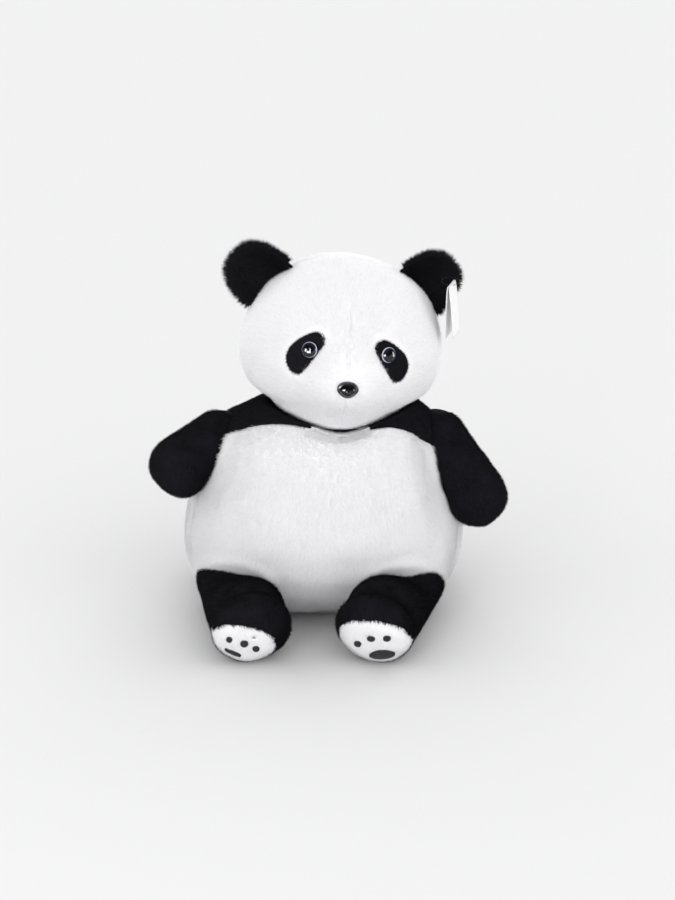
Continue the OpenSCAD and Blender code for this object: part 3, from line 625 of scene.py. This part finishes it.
# ------------------------------------------------------------------ eyes and nose
PUPIL = plain("eye_pupil", (0.001, 0.001, 0.0015), 0.05, 0.5)
IRIS = plain("eye_iris", (0.008, 0.010, 0.028), 0.08, 0.5)
# painted reflection: the light grey-lilac outer band stands for the studio mirrored in the rim of the glossy black eye
EYE_RIM_REFLECTION = plain("eye_ring_painted_reflection", (0.50, 0.50, 0.58), 0.2, 0.4)
GLOSS = plain("nose_gloss", (0.0015, 0.0015, 0.002), 0.08, 0.5)
RIMG = plain("nose_rim", (0.030, 0.029, 0.033), 0.25, 0.5)
for m_, sc in ((PUPIL, 250), (IRIS, 400), (EYE_RIM_REFLECTION, 300), (GLOSS, 220), (RIMG, 220)):
    nt_ = m_.node_tree; b_ = nt_.nodes["Principled BSDF"]
    tx = nt_.nodes.new("ShaderNodeTexCoord"); ns = nt_.nodes.new("ShaderNodeTexNoise"); ns.inputs["Scale"].default_value = sc
    bp = nt_.nodes.new("ShaderNodeBump"); bp.inputs["Strength"].default_value = 0.04; bp.inputs["Distance"].default_value = 0.0002
    nt_.links.new(tx.outputs["Object"], ns.inputs["Vector"]); nt_.links.new(ns.outputs["Fac"], bp.inputs["Height"])
    nt_.links.new(bp.outputs["Normal"], b_.inputs["Normal"])

def face_frame(dv):
    e = 0.02
    t1 = unit(np.cross(A([0, 0, 1.0]), -dv)); t2 = np.cross(t1, -dv); t2 = t2 if t2[2] > 0 else -t2
    if t1[0] < 0: t1 = -t1
    q = [x * head_r(x[None])[0] for x in (dv, unit(dv + t1 * e), unit(dv + t2 * e))]
    n = unit(np.cross(q[1] - q[0], q[2] - q[0]))
    if n @ dv < 0: n = -n
    r = unit(np.cross(A([0, 0, 1.0]), n));
    if r[0] < 0: r = -r
    u = np.cross(n, r); u = u if u[2] > 0 else -u
    return q[0] @ RH.T + P0, n @ RH.T, r @ RH.T, u @ RH.T

def dome(name, c, n, r, u, outline, rings, mats, body, rep, seg=64):
    """a turned dome: rings is a list of (share of the outline, height, material)"""
    V, mi = [], []
    an = np.arange(seg) * 2 * math.pi / seg
    ox, oy = outline(an)
    for k, h, m in rings:
        V.append(c + r * (ox * k)[:, None] + u * (oy * k)[:, None] + n * h)
    V = A(V); nr = len(rings)
    G = V.reshape(-1, 3)
    Q = grid_quads(nr, seg, True)
    if np.cross(r, u) @ n < 0:
        Q = Q[:, ::-1]
    Q = Q[:, ::-1]
    # rings run from the outer edge to the middle: close the middle and the back
    cen = np.concatenate([G, [V[-1].mean(0)], [V[0].mean(0)]])
    j = np.arange(seg); k2 = (j + 1) % seg
    T1 = np.stack([(nr - 1) * seg + j, (nr - 1) * seg + k2, np.full(seg, nr * seg)], -1)
    T2 = np.stack([k2, j, np.full(seg, nr * seg + 1)], -1)
    if np.cross(r, u) @ n < 0:
        T1, T2 = T1[:, ::-1], T2[:, ::-1]
    mids = np.repeat([m for _, _, m in rings[1:]], seg)
    ob = mesh(name, cen, [Q, np.concatenate([T1, T2])], mats, [mids, np.concatenate([np.full(seg, rings[-1][2]), np.full(seg, rings[0][2])])])
    me = ob.data; bpy.context.view_layer.update()
    return place(ob, body, rep)

GLINT = {}
for side in ("left", "right"):
    c, n, r, u = face_frame(EYES[side])
    GLINT[side] = (c + n * 5.5, n, r, u)
    R = 7.5
    # material 2, the outer band next to the edge, carries the painted rim reflection
    prof = [(1.0, -1.5, 0), (1.0, 1.2, 0), (0.985, 1.9, 2), (0.93, 2.75, 2), (0.86, 3.45, 1), (0.76, 4.25, 1), (0.67, 4.78, 1), (0.62, 5.0, 0),
            (0.52, 5.18, 0), (0.42, 5.32, 0), (0.32, 5.44, 0), (0.2, 5.54, 0), (0.06, 5.594, 0)]
    dome("eye_%s_dome" % side, c, n, r, u, lambda a: (R * np.cos(a), R * np.sin(a)), prof, [PUPIL, IRIS, EYE_RIM_REFLECTION], "head", ("eye_" + side,))
c, n, r, u = face_frame(NOSE)
GLINT["nose"] = (c + n * 6, n, r, u)
def nose_line(a):
    x, y = np.cos(a), np.sin(a)
    lo = np.clip(-y, 0, 1)
    return 10.4 * np.sign(x) * np.abs(x) ** 0.9 * (1 - 0.30 * lo ** 1.3), 8.3 * y * (1 - 0.06 * (y > 0)) - 0.2
dome("nose_dome", c, n, r, u, nose_line, [(0.97, -2.0, 1), (1.0, 0.4, 1), (1.0, 1.6, 1), (0.95, 2.5, 1), (0.86, 2.9, 1), (0.81, 3.0, 0), (0.78, 3.7, 0),
      (0.70, 4.9, 0), (0.58, 6.0, 0), (0.42, 6.9, 0), (0.24, 7.35, 0), (0.08, 7.5, 0)], [GLOSS, RIMG], "head", ("nose",))

# ------------------------------------------------------------------ ears
def ear(side):
    s = -1 if side == "left" else 1
    ea = 38.8
    M = RH @ rot("y", s * (90 - ea))
    o = head_world(A([s * 100 * math.cos(math.radians(ea)), 12, 100 * math.sin(math.radians(ea))]))
    W, H = 28.5, (39.0 if side == "left" else 36.5)
    def surf(f):
        G = []
        for k in np.concatenate([np.linspace(0.02, 0.8, 9), [0.88, 0.94, 0.98, 1.0]]):
            a = np.radians(np.linspace(189, -9, 51))
            x = W * k * np.sign(np.cos(a)) * np.abs(np.cos(a)) ** 0.8; h = H * np.sign(np.sin(a)) * np.abs(np.sin(a)) ** 0.78
            h = np.where(h < 0, -10.0, h)
            lo = np.clip(np.cos(a), 0, 1) * np.clip(np.sin(a) * 2, 0, 1)      # the outer, lower side is narrower
            x = x * (1 - (0.22 if s > 0 else 0.05) * k * lo)
            h = -10.0 + k * (h + 10.0)
            ym = -12.0 * (x / W) ** 2 - 5.0 * (np.maximum(h, 0) / H) ** 2
            th = 7.2 * math.sqrt(max(0.0, 1 - k ** 3.0)) + 0.6
            cup = -f * 1.5 * (1 - k * k) if f < 0 else 0
            G.append(np.stack([x, ym + f * th + cup, h], -1))
        return A(G) @ M.T + o
    Gf, Gb = surf(-1), surf(1)
    Nf = grid_normals(Gf, False); Nb = grid_normals(Gb, False)
    fwd = M @ A([0, -1.0, 0])
    if (Nf @ fwd).mean() < 0: Gf = Gf[:, ::-1]; Nf = grid_normals(Gf, False)
    if (Nb @ -fwd).mean() < 0: Gb = Gb[:, ::-1]; Nb = grid_normals(Gb, False)
    body = "ear_" + side
    out = M @ A([0, 0, 1.0])
    base = o - out * 6
    comb = lambda p: unit(p - base)
    for nm, G, N, rep in (("ear_front_" + side, Gf, Nf, "ear_front_" + side), ("ear_back_" + side, Gb, Nb, "ear_back_" + side)):
        sk = shell(nm + "_cloth", G, N, 1.2, [BLACK_SKIN], body=body, stands_for=(rep,))
        tufts(nm + "_pile", G, N, False, 1.6, 6.8, comb, BLACK_PILE, BLACK_ROOT_SHADE, body, 500 + len(nm) + s, thick=0.33, lean=40, jitter=0.5, keep=lambda p: (p - o) @ out > -4.0,
              longer=lambda p: 0.85 + 0.3 * ease(20, 34, np.linalg.norm(p - o, axis=1)))
ear("left"); ear("right")

# ------------------------------------------------------------------ arms and legs
def limb_frame(c, t):
    d = unit(t - c); up = unit(A([0, 0, 1.0]) - d * d[2]); side = np.cross(d, up)
    return d, side, up
def limb_grid(c, t, prof, wob, extra=None, n=120):
    d, side, up = limb_frame(c, t)
    a = np.arange(n) * 2 * math.pi / n
    G = []
    for s, r in prof:
        p = c + d * s + (side * np.cos(a)[:, None] + up * np.sin(a)[:, None]) * r
        G.append(p)
    G = A(G)
    if extra is not None:
        G = extra(G, c, d, side, up, prof)
    N = grid_normals(G, True)
    mid = c + d * np.linalg.norm(t - c) * 0.5
    if ((G - mid) * N).sum() < 0:
        G = G[:, ::-1]; N = grid_normals(G, True)
    w = wob(G)
    w = w * ease(0, 0.15, np.linspace(0, 1, len(G)))[:, None]
    ax = (G - c) @ unit(t - c)
    hold = np.maximum(1 - ease(-6, 14, ax), np.exp(-((ax - np.linalg.norm(t - c) - 14) / 5) ** 2) if extra is not None else 0)
    hold[-2:] = 1
    w = w + inflate("limb", G, N, hold, 2.5, 1.8)
    G = G + N * w[..., None]
    G[..., 2] = np.maximum(G[..., 2], 0.5)
    return G, grid_normals(G, True)

def arm(side, c, t, seed):
    L = np.linalg.norm(t - c); r0, r1 = 29.3, 30.2
    prof = [(r0 * math.cos(math.radians(a)), r0 * math.sin(math.radians(a))) for a in np.linspace(171, 90, 15)]
    prof += [(s, r0 + (r1 - r0) * s / L - 0.8 * math.sin(math.pi * s / L)) for s in np.linspace(0, L, 18)[1:-1]]
    prof += [(L - 3 + (r1 + 2.2) * math.sin(math.radians(a)) ** (2 / 2.25), r1 * max(1e-3, math.cos(math.radians(a))) ** (2 / 2.25)) for a in np.linspace(4, 88.5, 24)]
    la, lb = waves(seed, 46), waves(seed + 1, 20)
    wob = lambda G: la(G) * 1.3 + lb(G) * 0.5
    G, N = limb_grid(c, t, prof, wob)
    sk = shell("arm_cover_%s_cloth" % side, G, N, 1.4, [BLACK_SKIN], wrap=True, body="arm_" + side, stands_for=("arm_cover_" + side,))
    stuffing("arm_fill_%s_fibre" % side, G, N, 3.0, "arm_" + side, "arm_stuffing_" + side)
    d = unit(t - c)
    comb = lambda p: d + np.stack([swirl_x(p) * 0.3, swirl_y(p) * 0.3, np.full(len(p), -0.5)], -1)
    tufts("arm_%s_pile" % side, G, N, True, 0.80, 4.6, comb, BLACK_PILE, BLACK_ROOT_SHADE, "arm_" + side, seed, keep=lambda p: (p - c) @ d > -12)
arm("left", SL, TL, 61); arm("right", SR, TR, 71)

def leg(side, c, t, roll, patch, toes, heel, seed):
    L = np.linalg.norm(t - c); R = 36.4
    prof = [(R * math.cos(math.radians(a)), R * math.sin(math.radians(a))) for a in np.linspace(150, 90, 12)]
    prof += [(s, R) for s in np.linspace(0, L - 8, 24)[1:-1]]
    e = 2 / 3.0
    prof += [(L - 8 + 40 * math.sin(math.radians(a)) ** e, R * max(1e-4, math.cos(math.radians(a))) ** e) for a in np.linspace(3, 89.3, 40)]
    sa = A([p[0] for p in prof])
    def extra(G, c, d, side_, up, prof):
        s = (G - c) @ d; h = (G - c) @ up; x = (G - c) @ side_
        w = ease(L - 34, L + 24, s)
        G = G + d * (0.20 * h * w)[..., None]                      # the sole leans forward at its top
        mid = np.exp(-((s - L * 0.42) / 26) ** 2)
        G = G - up * (14.0 * mid * ease(-6, 34, h))[..., None]     # pressed down under the belly
        rim = np.exp(-((s - (L + 14)) / 9) ** 2)                   # the seam round the sole stands out a little
        ctr = c + d * s[..., None]
        rad = unit(G - ctr)
        neck = np.exp(-((s - (L - 4)) / 7) ** 2)                   # drawn in just behind it
        return G + rad * ((2.2 * rim - 3.8 * neck) * ease(-34, -10, h))[..., None]
    la, lb = waves(seed, 50), waves(seed + 1, 22)
    wob = lambda G: la(G) * 1.0 + lb(G) * 0.4
    G, N = limb_grid(c, t, prof, wob, extra)
    stuffing("leg_fill_%s_fibre" % side, G, N, 3.0, "leg_" + side, "leg_stuffing_" + side)
    d, sd, up = limb_frame(c, t)
    # sole coordinates, turned by the foot's roll: x to the viewer's right, y up
    ex = -sd if sd[0] < 0 else sd
    cr, sr = math.cos(math.radians(roll)), math.sin(math.radians(roll))
    def sole_xy(p):
        q = p - t; x, y = q @ ex, q @ up
        return x * cr - y * sr, x * sr + y * cr, q @ d
    edge = waves(seed + 5, 9)
    wx, wy, ax_, ay_ = patch
    def white(p, grow=0.0):
        x, y, s = sole_xy(p)
        f = np.abs((x - wx) / (ax_ + grow)) ** 2.3 + np.abs((y - wy) / (ay_ + grow)) ** 2.3 + edge(p) * 0.05
        return (f < 1) & (s > 6)
    nr, nc = G.shape[:2]
    Q = grid_quads(nr, nc, True)
    V = G.reshape(-1, 3)
    ctr = V[Q].mean(1); isw = white(ctr)
    def piece(nm, m, mat, rep):
        q = Q[m]
        # drop to used vertices and give the sheet its thickness
        used, inv = np.unique(q, return_inverse=True); q = inv.reshape(q.shape)
        o = V[used]; i = (G - N * 1.4).reshape(-1, 3)[used]; k = len(used)
        ed = np.concatenate([q[:, [0, 1]], q[:, [1, 2]], q[:, [2, 3]], q[:, [3, 0]]])
        key = set(map(tuple, ed.tolist()))
        b = A([x for x in ed.tolist() if (x[1], x[0]) not in key])
        rim = np.stack([b[:, 1], b[:, 0], b[:, 0] + k, b[:, 1] + k], -1)
        ob = mesh(nm, np.concatenate([o, i]), [np.concatenate([q, q[:, ::-1] + k, rim])], [mat])
        return place(ob, "leg_" + side, rep)
    piece("leg_cover_%s_cloth" % side, ~isw, BLACK_SKIN, ("leg_cover_" + side,))
    piece("sole_%s_cloth" % side, isw, WHITE_SKIN, ("sole_" + side,))
    comb = lambda p: d + np.stack([swirl_x(p) * 0.3, swirl_y(p) * 0.3, np.full(len(p), -0.25)], -1)
    tufts("leg_%s_pile" % side, G, N, True, 0.80, 4.6, comb, BLACK_PILE, BLACK_ROOT_SHADE, "leg_" + side, seed,
          keep=lambda p: ((p - c) @ d > -14) & ~white(p) & (p[:, 2] > 0.8))
    def marks(p):
        x, y, s = sole_xy(p); k = np.zeros(len(p), bool)
        for (tx, ty, tw, th) in toes + [heel]:
            k |= ((x - tx) / (tw * 0.98)) ** 2 + ((y - ty - 0.8) / (th * 0.98)) ** 2 < 1
        return k & (s > 0)
    comb2 = lambda p: -up[None] * 0.8 + np.stack([swirl_x(p) * 0.4, swirl_y(p) * 0.4, swirl_x(p + 9) * 0.4], -1)
    i0 = int(len(prof) * 0.45)
    tufts("sole_%s_pile" % side, G[i0:], N[i0:], True, 1.1, 2.8, comb2, WHITE_PILE, WHITE_ROOT_SHADE, "leg_" + side, seed + 3,
          keep=lambda p: white(p) & ~marks(p) & (p[:, 2] > 0.8), thick=0.3, lean=50)
    # pads: small domes of flat dark pile sewn to the sole
    F = G.reshape(-1, 3); FN = N.reshape(-1, 3)
    fx, fy, fs = sole_xy(F); front = fs > 4
    def spot(x, y):
        k = np.argmin(np.where(front, (fx - x) ** 2 + (fy - y) ** 2, 1e9)); return F[k], FN[k]
    for group, items in (("toe_pads_" + side, toes), ("heel_pad_" + side, [heel])):
        VV, TT, off = [], [], 0
        grids = []
        for (tx, ty, tw, th) in items:
            rows_ = []
            for k, h in ((1.0, -0.6), (1.0, 1.3), (0.9, 2.0), (0.7, 2.4), (0.4, 2.6), (0.04, 2.65)):
                a = np.arange(28) * 2 * math.pi / 28
                rr = []
                for an in a:
                    squish = 1 - 0.25 * max(0.0, math.sin(an)) if group.startswith("heel") else 1
                    px, py = tx + tw * k * math.cos(an) * squish, ty + th * k * math.sin(an)
                    q, nq = spot(px, py)
                    ax = ex * cr + up * sr * -1
                    rr.append((px, py))
                rows_.append((rr, h))
            c0, n0 = spot(tx, ty)
            e1 = unit(ex * cr - up * sr); e1 = unit(e1 - n0 * (e1 @ n0)); e2 = np.cross(n0, e1); e2 = e2 if e2 @ up > 0 else -e2
            g = []
            for rr, h in rows_:
                g.append([c0 + e1 * (px - tx) + e2 * (py - ty) + n0 * (h + 0.3) for px, py in rr])
            grids.append(A(g))
        for g in grids:
            nr_, nc_ = g.shape[:2]
            if np.cross(g[0, 1] - g[0, 0], g[2, 0] - g[0, 0]) @ unit(g[0].mean(0) - F[front].mean(0) + d * 30) < 0:
                pass
            Qg = grid_quads(nr_, nc_, True); nq_ = unit(np.cross(g[3, 1] - g[3, 0], g[4, 0] - g[3, 0]))
            if nq_ @ d < 0: Qg = Qg[:, ::-1]
            VV.append(g.reshape(-1, 3)); TT.append(Qg + off)
            cap = np.arange(nc_)
            off += nr_ * nc_
        ob = mesh(group + "_felt", np.concatenate(VV), [np.concatenate(TT)], [PAD_SKIN])
        place(ob, "leg_" + side, (group,))
        for k, g in enumerate(grids):
            Ng = grid_normals(g, True)
            if (Ng[3] @ d).mean() < 0: g = g[:, ::-1]; Ng = grid_normals(g, True)
            tufts("%s_nap_%d" % (group, k + 1), g[1:], Ng[1:], True, 1.6, 1.5, lambda p: -up[None] + p * 0, PAD_PILE, PAD_PILE[:1], "leg_" + side, seed + 20 + k, thick=0.28, lean=50)
leg("left", HL, FL, 20, (-5, -14, 31, 24), [(-20.5, -9, 2.9, 2.9), (-7, -9, 3.8, 3.6), (6.5, -11.5, 3.4, 3.0)], (-12, -22.5, 8.5, 1.9), 81)
leg("right", HR, FR, -4, (1, -9.5, 35, 28), [(-11.5, -7.5, 3.6, 3.0), (2, -0.5, 3.9, 2.8), (17, 0.5, 3.7, 2.9)], (9.5, -19, 12.5, 6.6), 91)

# ------------------------------------------------------------------ tag, loop, label, stitches, inner pieces
def paper(name, c0, c1):
    m = cloth(name, c0, c1, scale=300, rough=0.35, spec=0.5, sheen=0.0, bump=0.00005, fine=2500)
    return m
CARD = paper("tag_card", (0.80, 0.80, 0.80), (0.84, 0.84, 0.84))
EDGE = paper("tag_inside", (0.86, 0.85, 0.86), (0.90, 0.89, 0.90))
TAG = A([125.0, -22, 331.5])
def leaf(name, turn, dx, body, rep, bow):
    W, H, T = 17.0, 52.0, 0.5
    nx, nz = 15, 31
    y = np.linspace(-W, W, nx); z = np.linspace(0, -H, nz)
    Z, Y = np.meshgrid(z, y, indexing="ij")
    Y = Y * (1 - 0.12 * ease(-46, -52, Z)) * (1 - 0.10 * ease(-6, 0, Z))
    X = bow * np.sin(np.pi * (-Z / H)) + 0.6 * bow * (Y / W) ** 2
    G = np.stack([X + dx, Y, Z], -1) @ (rot("z", -15) @ rot("y", turn)).T + TAG
    N = grid_normals(G, False)
    ob = shell(name, G, N, T, [CARD], body=body, stands_for=rep)
    return ob
leaf("tag_leaf_inner_card", 1, -0.5, "tag", ("tag_leaf_inner",), -0.4)
leaf("tag_leaf_outer_card", -6, 0.5, "tag_flap", ("tag_leaf_outer",), 0.6)
FIL = plain("loop_filament", (0.03, 0.03, 0.033), 0.3, 0.3)
def tube(name, pts, r, mat, body, rep, closed=True, seg=10):
    pts = A(pts); n = len(pts)
    tg = unit(np.roll(pts, -1, 0) - np.roll(pts, 1, 0)) if closed else unit(np.gradient(pts, axis=0))
    ref = A([0, 0, 1.0]); G = []
    for p, t in zip(pts, tg):
        s = unit(np.cross(t, ref)); w = np.cross(s, t)
        a = np.arange(seg) * 2 * math.pi / seg
        G.append(p + (s * np.cos(a)[:, None] + w * np.sin(a)[:, None]) * r)
    G = A(G).reshape(-1, 3)
    i, j = np.meshgrid(np.arange(n if closed else n - 1), np.arange(seg), indexing="ij"); k = (j + 1) % seg; i2 = (i + 1) % n
    Q = np.stack([i * seg + j, i * seg + k, i2 * seg + k, i2 * seg + j], -1).reshape(-1, 4)
    F = [Q]
    if not closed:
        F.append(np.stack([np.arange(1, seg - 1) * 0, np.arange(2, seg), np.arange(1, seg - 1)], -1))
        b = (n - 1) * seg
        F.append(np.stack([np.arange(1, seg - 1) * 0 + b, np.arange(1, seg - 1) + b, np.arange(2, seg) + b], -1))
    ob = mesh(name, G, F, [mat])
    return place(ob, body, rep)
a = np.arange(48) * 2 * math.pi / 48
tube("tag_loop_filament", np.stack([TAG[0] + 11 * np.cos(a) * 0.8, TAG[1] + 11 + 11 * np.sin(a), TAG[2] + 1.2 * np.sin(a) - 0.4], -1), 0.22, FIL, "ear_right", ("tag_loop",))

# hand-sewn closing seam down the back: short slanted stitches
THREAD = cloth("seam_thread", (0.72, 0.72, 0.73), (0.86, 0.86, 0.86), scale=900, bump=0.0002, fine=3000)
cb = TG[:, NU // 2]
V, F, off = [], [], 0
for k in range(10):
    z = 60 + k * 6
    i = int(np.argmin(np.abs(cb[nb:nw, 2] - z))) + nb
    c0, n0 = cb[i], TN[i, NU // 2]
    e1 = unit(np.cross(n0, A([0, 0, 1.0]))); e2 = A([0, 0, 1.0])
    for q in range(9):
        t = q / 8 - 0.5
        cc = c0 + e1 * t * 8 + e2 * t * 3.2 + n0 * (2.6 + 0.9 * math.cos(math.pi * t))
        an = np.arange(8) * math.pi / 4
        V.append(cc + (n0 * np.cos(an)[:, None] + e2 * np.sin(an)[:, None]) * (0.65 if 0 < q < 8 else 0.3))
        if q:
            j = np.arange(8); j2 = (j + 1) % 8
            F.append(np.stack([off - 8 + j, off - 8 + j2, off + j2, off + j], -1))
        off += 8
ob = mesh("closing_stitches_thread", np.concatenate(V), [np.concatenate(F)], [THREAD])
place(ob, "torso", ("closing_stitches",))

# blank sewn-in label, a folded tape
TAPE = cloth("label_tape", (0.86, 0.86, 0.86), (0.93, 0.93, 0.93), scale=600, rough=0.5, spec=0.4, sheen=0.3, bump=0.00015, fine=2200)
lo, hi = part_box("care_label"); lo, hi = A(lo) / MM, A(hi) / MM
y0, y1 = lo[1], hi[1]
xs = np.linspace(lo[0], hi[0], 12); ts = np.linspace(0, 1, 16)
Xg, Tg = np.meshgrid(xs, ts)
Zg = lo[2] + (hi[2] - lo[2]) * Tg
Yg = y0 + (y1 - y0) * Tg + 1.5 + 1.6 * np.sin(Tg * 5 + Xg * 0.12) * (1 - Tg)
G = np.stack([Xg, Yg, Zg], -1)[:, ::-1]
ob = shell("care_label_tape", G, grid_normals(G, False), 0.6, [TAPE], body="torso", stands_for=("care_label",))

MOULD = cloth("washer_plastic", (0.78, 0.78, 0.76), (0.84, 0.84, 0.82), scale=200, rough=0.4, spec=0.4, sheen=0, bump=0.00005, fine=1500)
for nm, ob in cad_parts.items():
    if "stuffing" in nm or "_fill" in nm:
        ob.data.materials.clear(); ob.data.materials.append(BLACK_SKIN if nm == "neck_fill" else FILL)
    if "washer" in nm:
        ob.data.materials.clear(); ob.data.materials.append(MOULD)

# ------------------------------------------------------------------ floor, light, camera
sc = bpy.context.scene
sc.view_settings.view_transform = "Standard"
sc.view_settings.look = "None"
w = bpy.data.worlds.new("studio"); sc.world = w; w.use_nodes = True
w.node_tree.nodes["Background"].inputs[0].default_value = (1.12, 1.12, 1.13, 1)
w.node_tree.nodes["Background"].inputs[1].default_value = 1.0
# the room is darker where glossy parts mirror it, as behind the lamps of a studio
wn = w.node_tree
dk = wn.nodes.new("ShaderNodeBackground"); dk.inputs[0].default_value = (0.10, 0.10, 0.11, 1)
lp = wn.nodes.new("ShaderNodeLightPath"); mx = wn.nodes.new("ShaderNodeMixShader")
wn.links.new(lp.outputs["Is Glossy Ray"], mx.inputs[0]); wn.links.new(wn.nodes["Background"].outputs[0], mx.inputs[1])
wn.links.new(dk.outputs[0], mx.inputs[2])
bk = wn.nodes.new("ShaderNodeBackground"); bk.inputs[0].default_value = (0.885, 0.885, 0.885, 1); mc = wn.nodes.new("ShaderNodeMixShader")
wn.links.new(lp.outputs["Is Camera Ray"], mc.inputs[0]); wn.links.new(mx.outputs[0], mc.inputs[1]); wn.links.new(bk.outputs[0], mc.inputs[2])
wn.links.new(mc.outputs[0], wn.nodes["World Output"].inputs[0])
fm, fnt, fb = principled("studio_floor")
fb.inputs["Base Color"].default_value = (0.662, 0.662, 0.662, 1); fb.inputs["Roughness"].default_value = 1.0
fb.inputs["Specular IOR Level"].default_value = 0.0
me = bpy.data.meshes.new("studio_floor")
me.from_pydata([(-40, -40, 0), (40, -40, 0), (40, 40, 0), (-40, 40, 0)], [], [(0, 1, 2, 3)])
me.materials.append(fm)
fl = bpy.data.objects.new("studio_floor", me); sc.collection.objects.link(fl)

def area(name, loc, target, size, power, col=(1, 1, 1)):
    l = bpy.data.lights.new(name, "AREA"); l.shape = "RECTANGLE"; l.size = size[0]; l.size_y = size[1]; l.energy = power; l.color = col
    o = bpy.data.objects.new(name, l); o.location = loc
    o.rotation_euler = (Vector(target) - Vector(loc)).to_track_quat("-Z", "Y").to_euler()
    sc.collection.objects.link(o)
    return o
def sun(name, frm, power, angle):
    l = bpy.data.lights.new(name, "SUN"); l.energy = power; l.angle = math.radians(angle)
    o = bpy.data.objects.new(name, l); o.rotation_euler = (-Vector(frm)).to_track_quat("-Z", "Y").to_euler()
    o.visible_glossy = False
    sc.collection.objects.link(o)
sun("key_soft", (0.45, -1.0, 0.70), 0.15, 70)
sun("side_left", (-1.0, -0.6, 0.2), 0.44, 90)
sun("side_right", (1.0, -0.7, 0.2), 0.74, 90)
sun("back_fill", (0.1, 1.0, 0.30), 0.72, 80)
sun("low_front", (0.1, -1.0, 0.14), 0.24, 80)
area("softbox", (-0.62, -1.65, 0.80), (0.02, -0.1, 0.28), (0.30, 0.30), 2.6)

o = area("chin_fill", (0.0, -0.95, 0.30), (0.012, -0.08, 0.185), (0.22, 0.16), 0.013)
o.data.spread = math.radians(26); o.visible_glossy = False; o.visible_camera = False

cam = bpy.data.cameras.new("camera"); co = bpy.data.objects.new("camera", cam)
sc.collection.objects.link(co); sc.camera = co
cam.sensor_fit = "VERTICAL"; cam.sensor_height = 36; cam.lens = 70
e = math.radians(20); t = Vector((0.014, -0.040, 0.165))
co.location = t + Vector((0, -math.cos(e), math.sin(e))) * 1.75
co.rotation_euler = (t - co.location).to_track_quat("-Z", "Y").to_euler()

# small catch lights, mirrored by the polished eyes and nose only
def catch(name, of_, right, up, size, strength, dist=0.9):
    c_, n_, r_, u_ = GLINT[of_]
    c_ = c_ * 0.001
    m_ = unit(n_ + r_ * right + u_ * up)
    v_ = unit(A(co.location) - c_)
    d_ = 2 * (m_ @ v_) * m_ - v_
    p_ = c_ + d_ * dist
    p_[2] = max(p_[2], 0.06)
    o = area(name, Vector(p_), Vector(c_), size, strength * math.pi * size[0] * size[1])
    o.visible_diffuse = False; o.visible_camera = False
    print("CATCH", name, [round(float(q_), 3) for q_ in p_])
catch("catch_left_eye", "left", -0.15, -0.03, (0.13, 0.24), 30)
catch("catch_nose", "nose", -0.40, 0.32, (0.36, 0.36), 30)
catch("catch_right_eye", "right", 0.17, 0.06, (0.16, 0.42), 14)

print("TUFTS", sum(COUNT.values()), "largest", max(COUNT.values()))
bpy.context.view_layer.update()
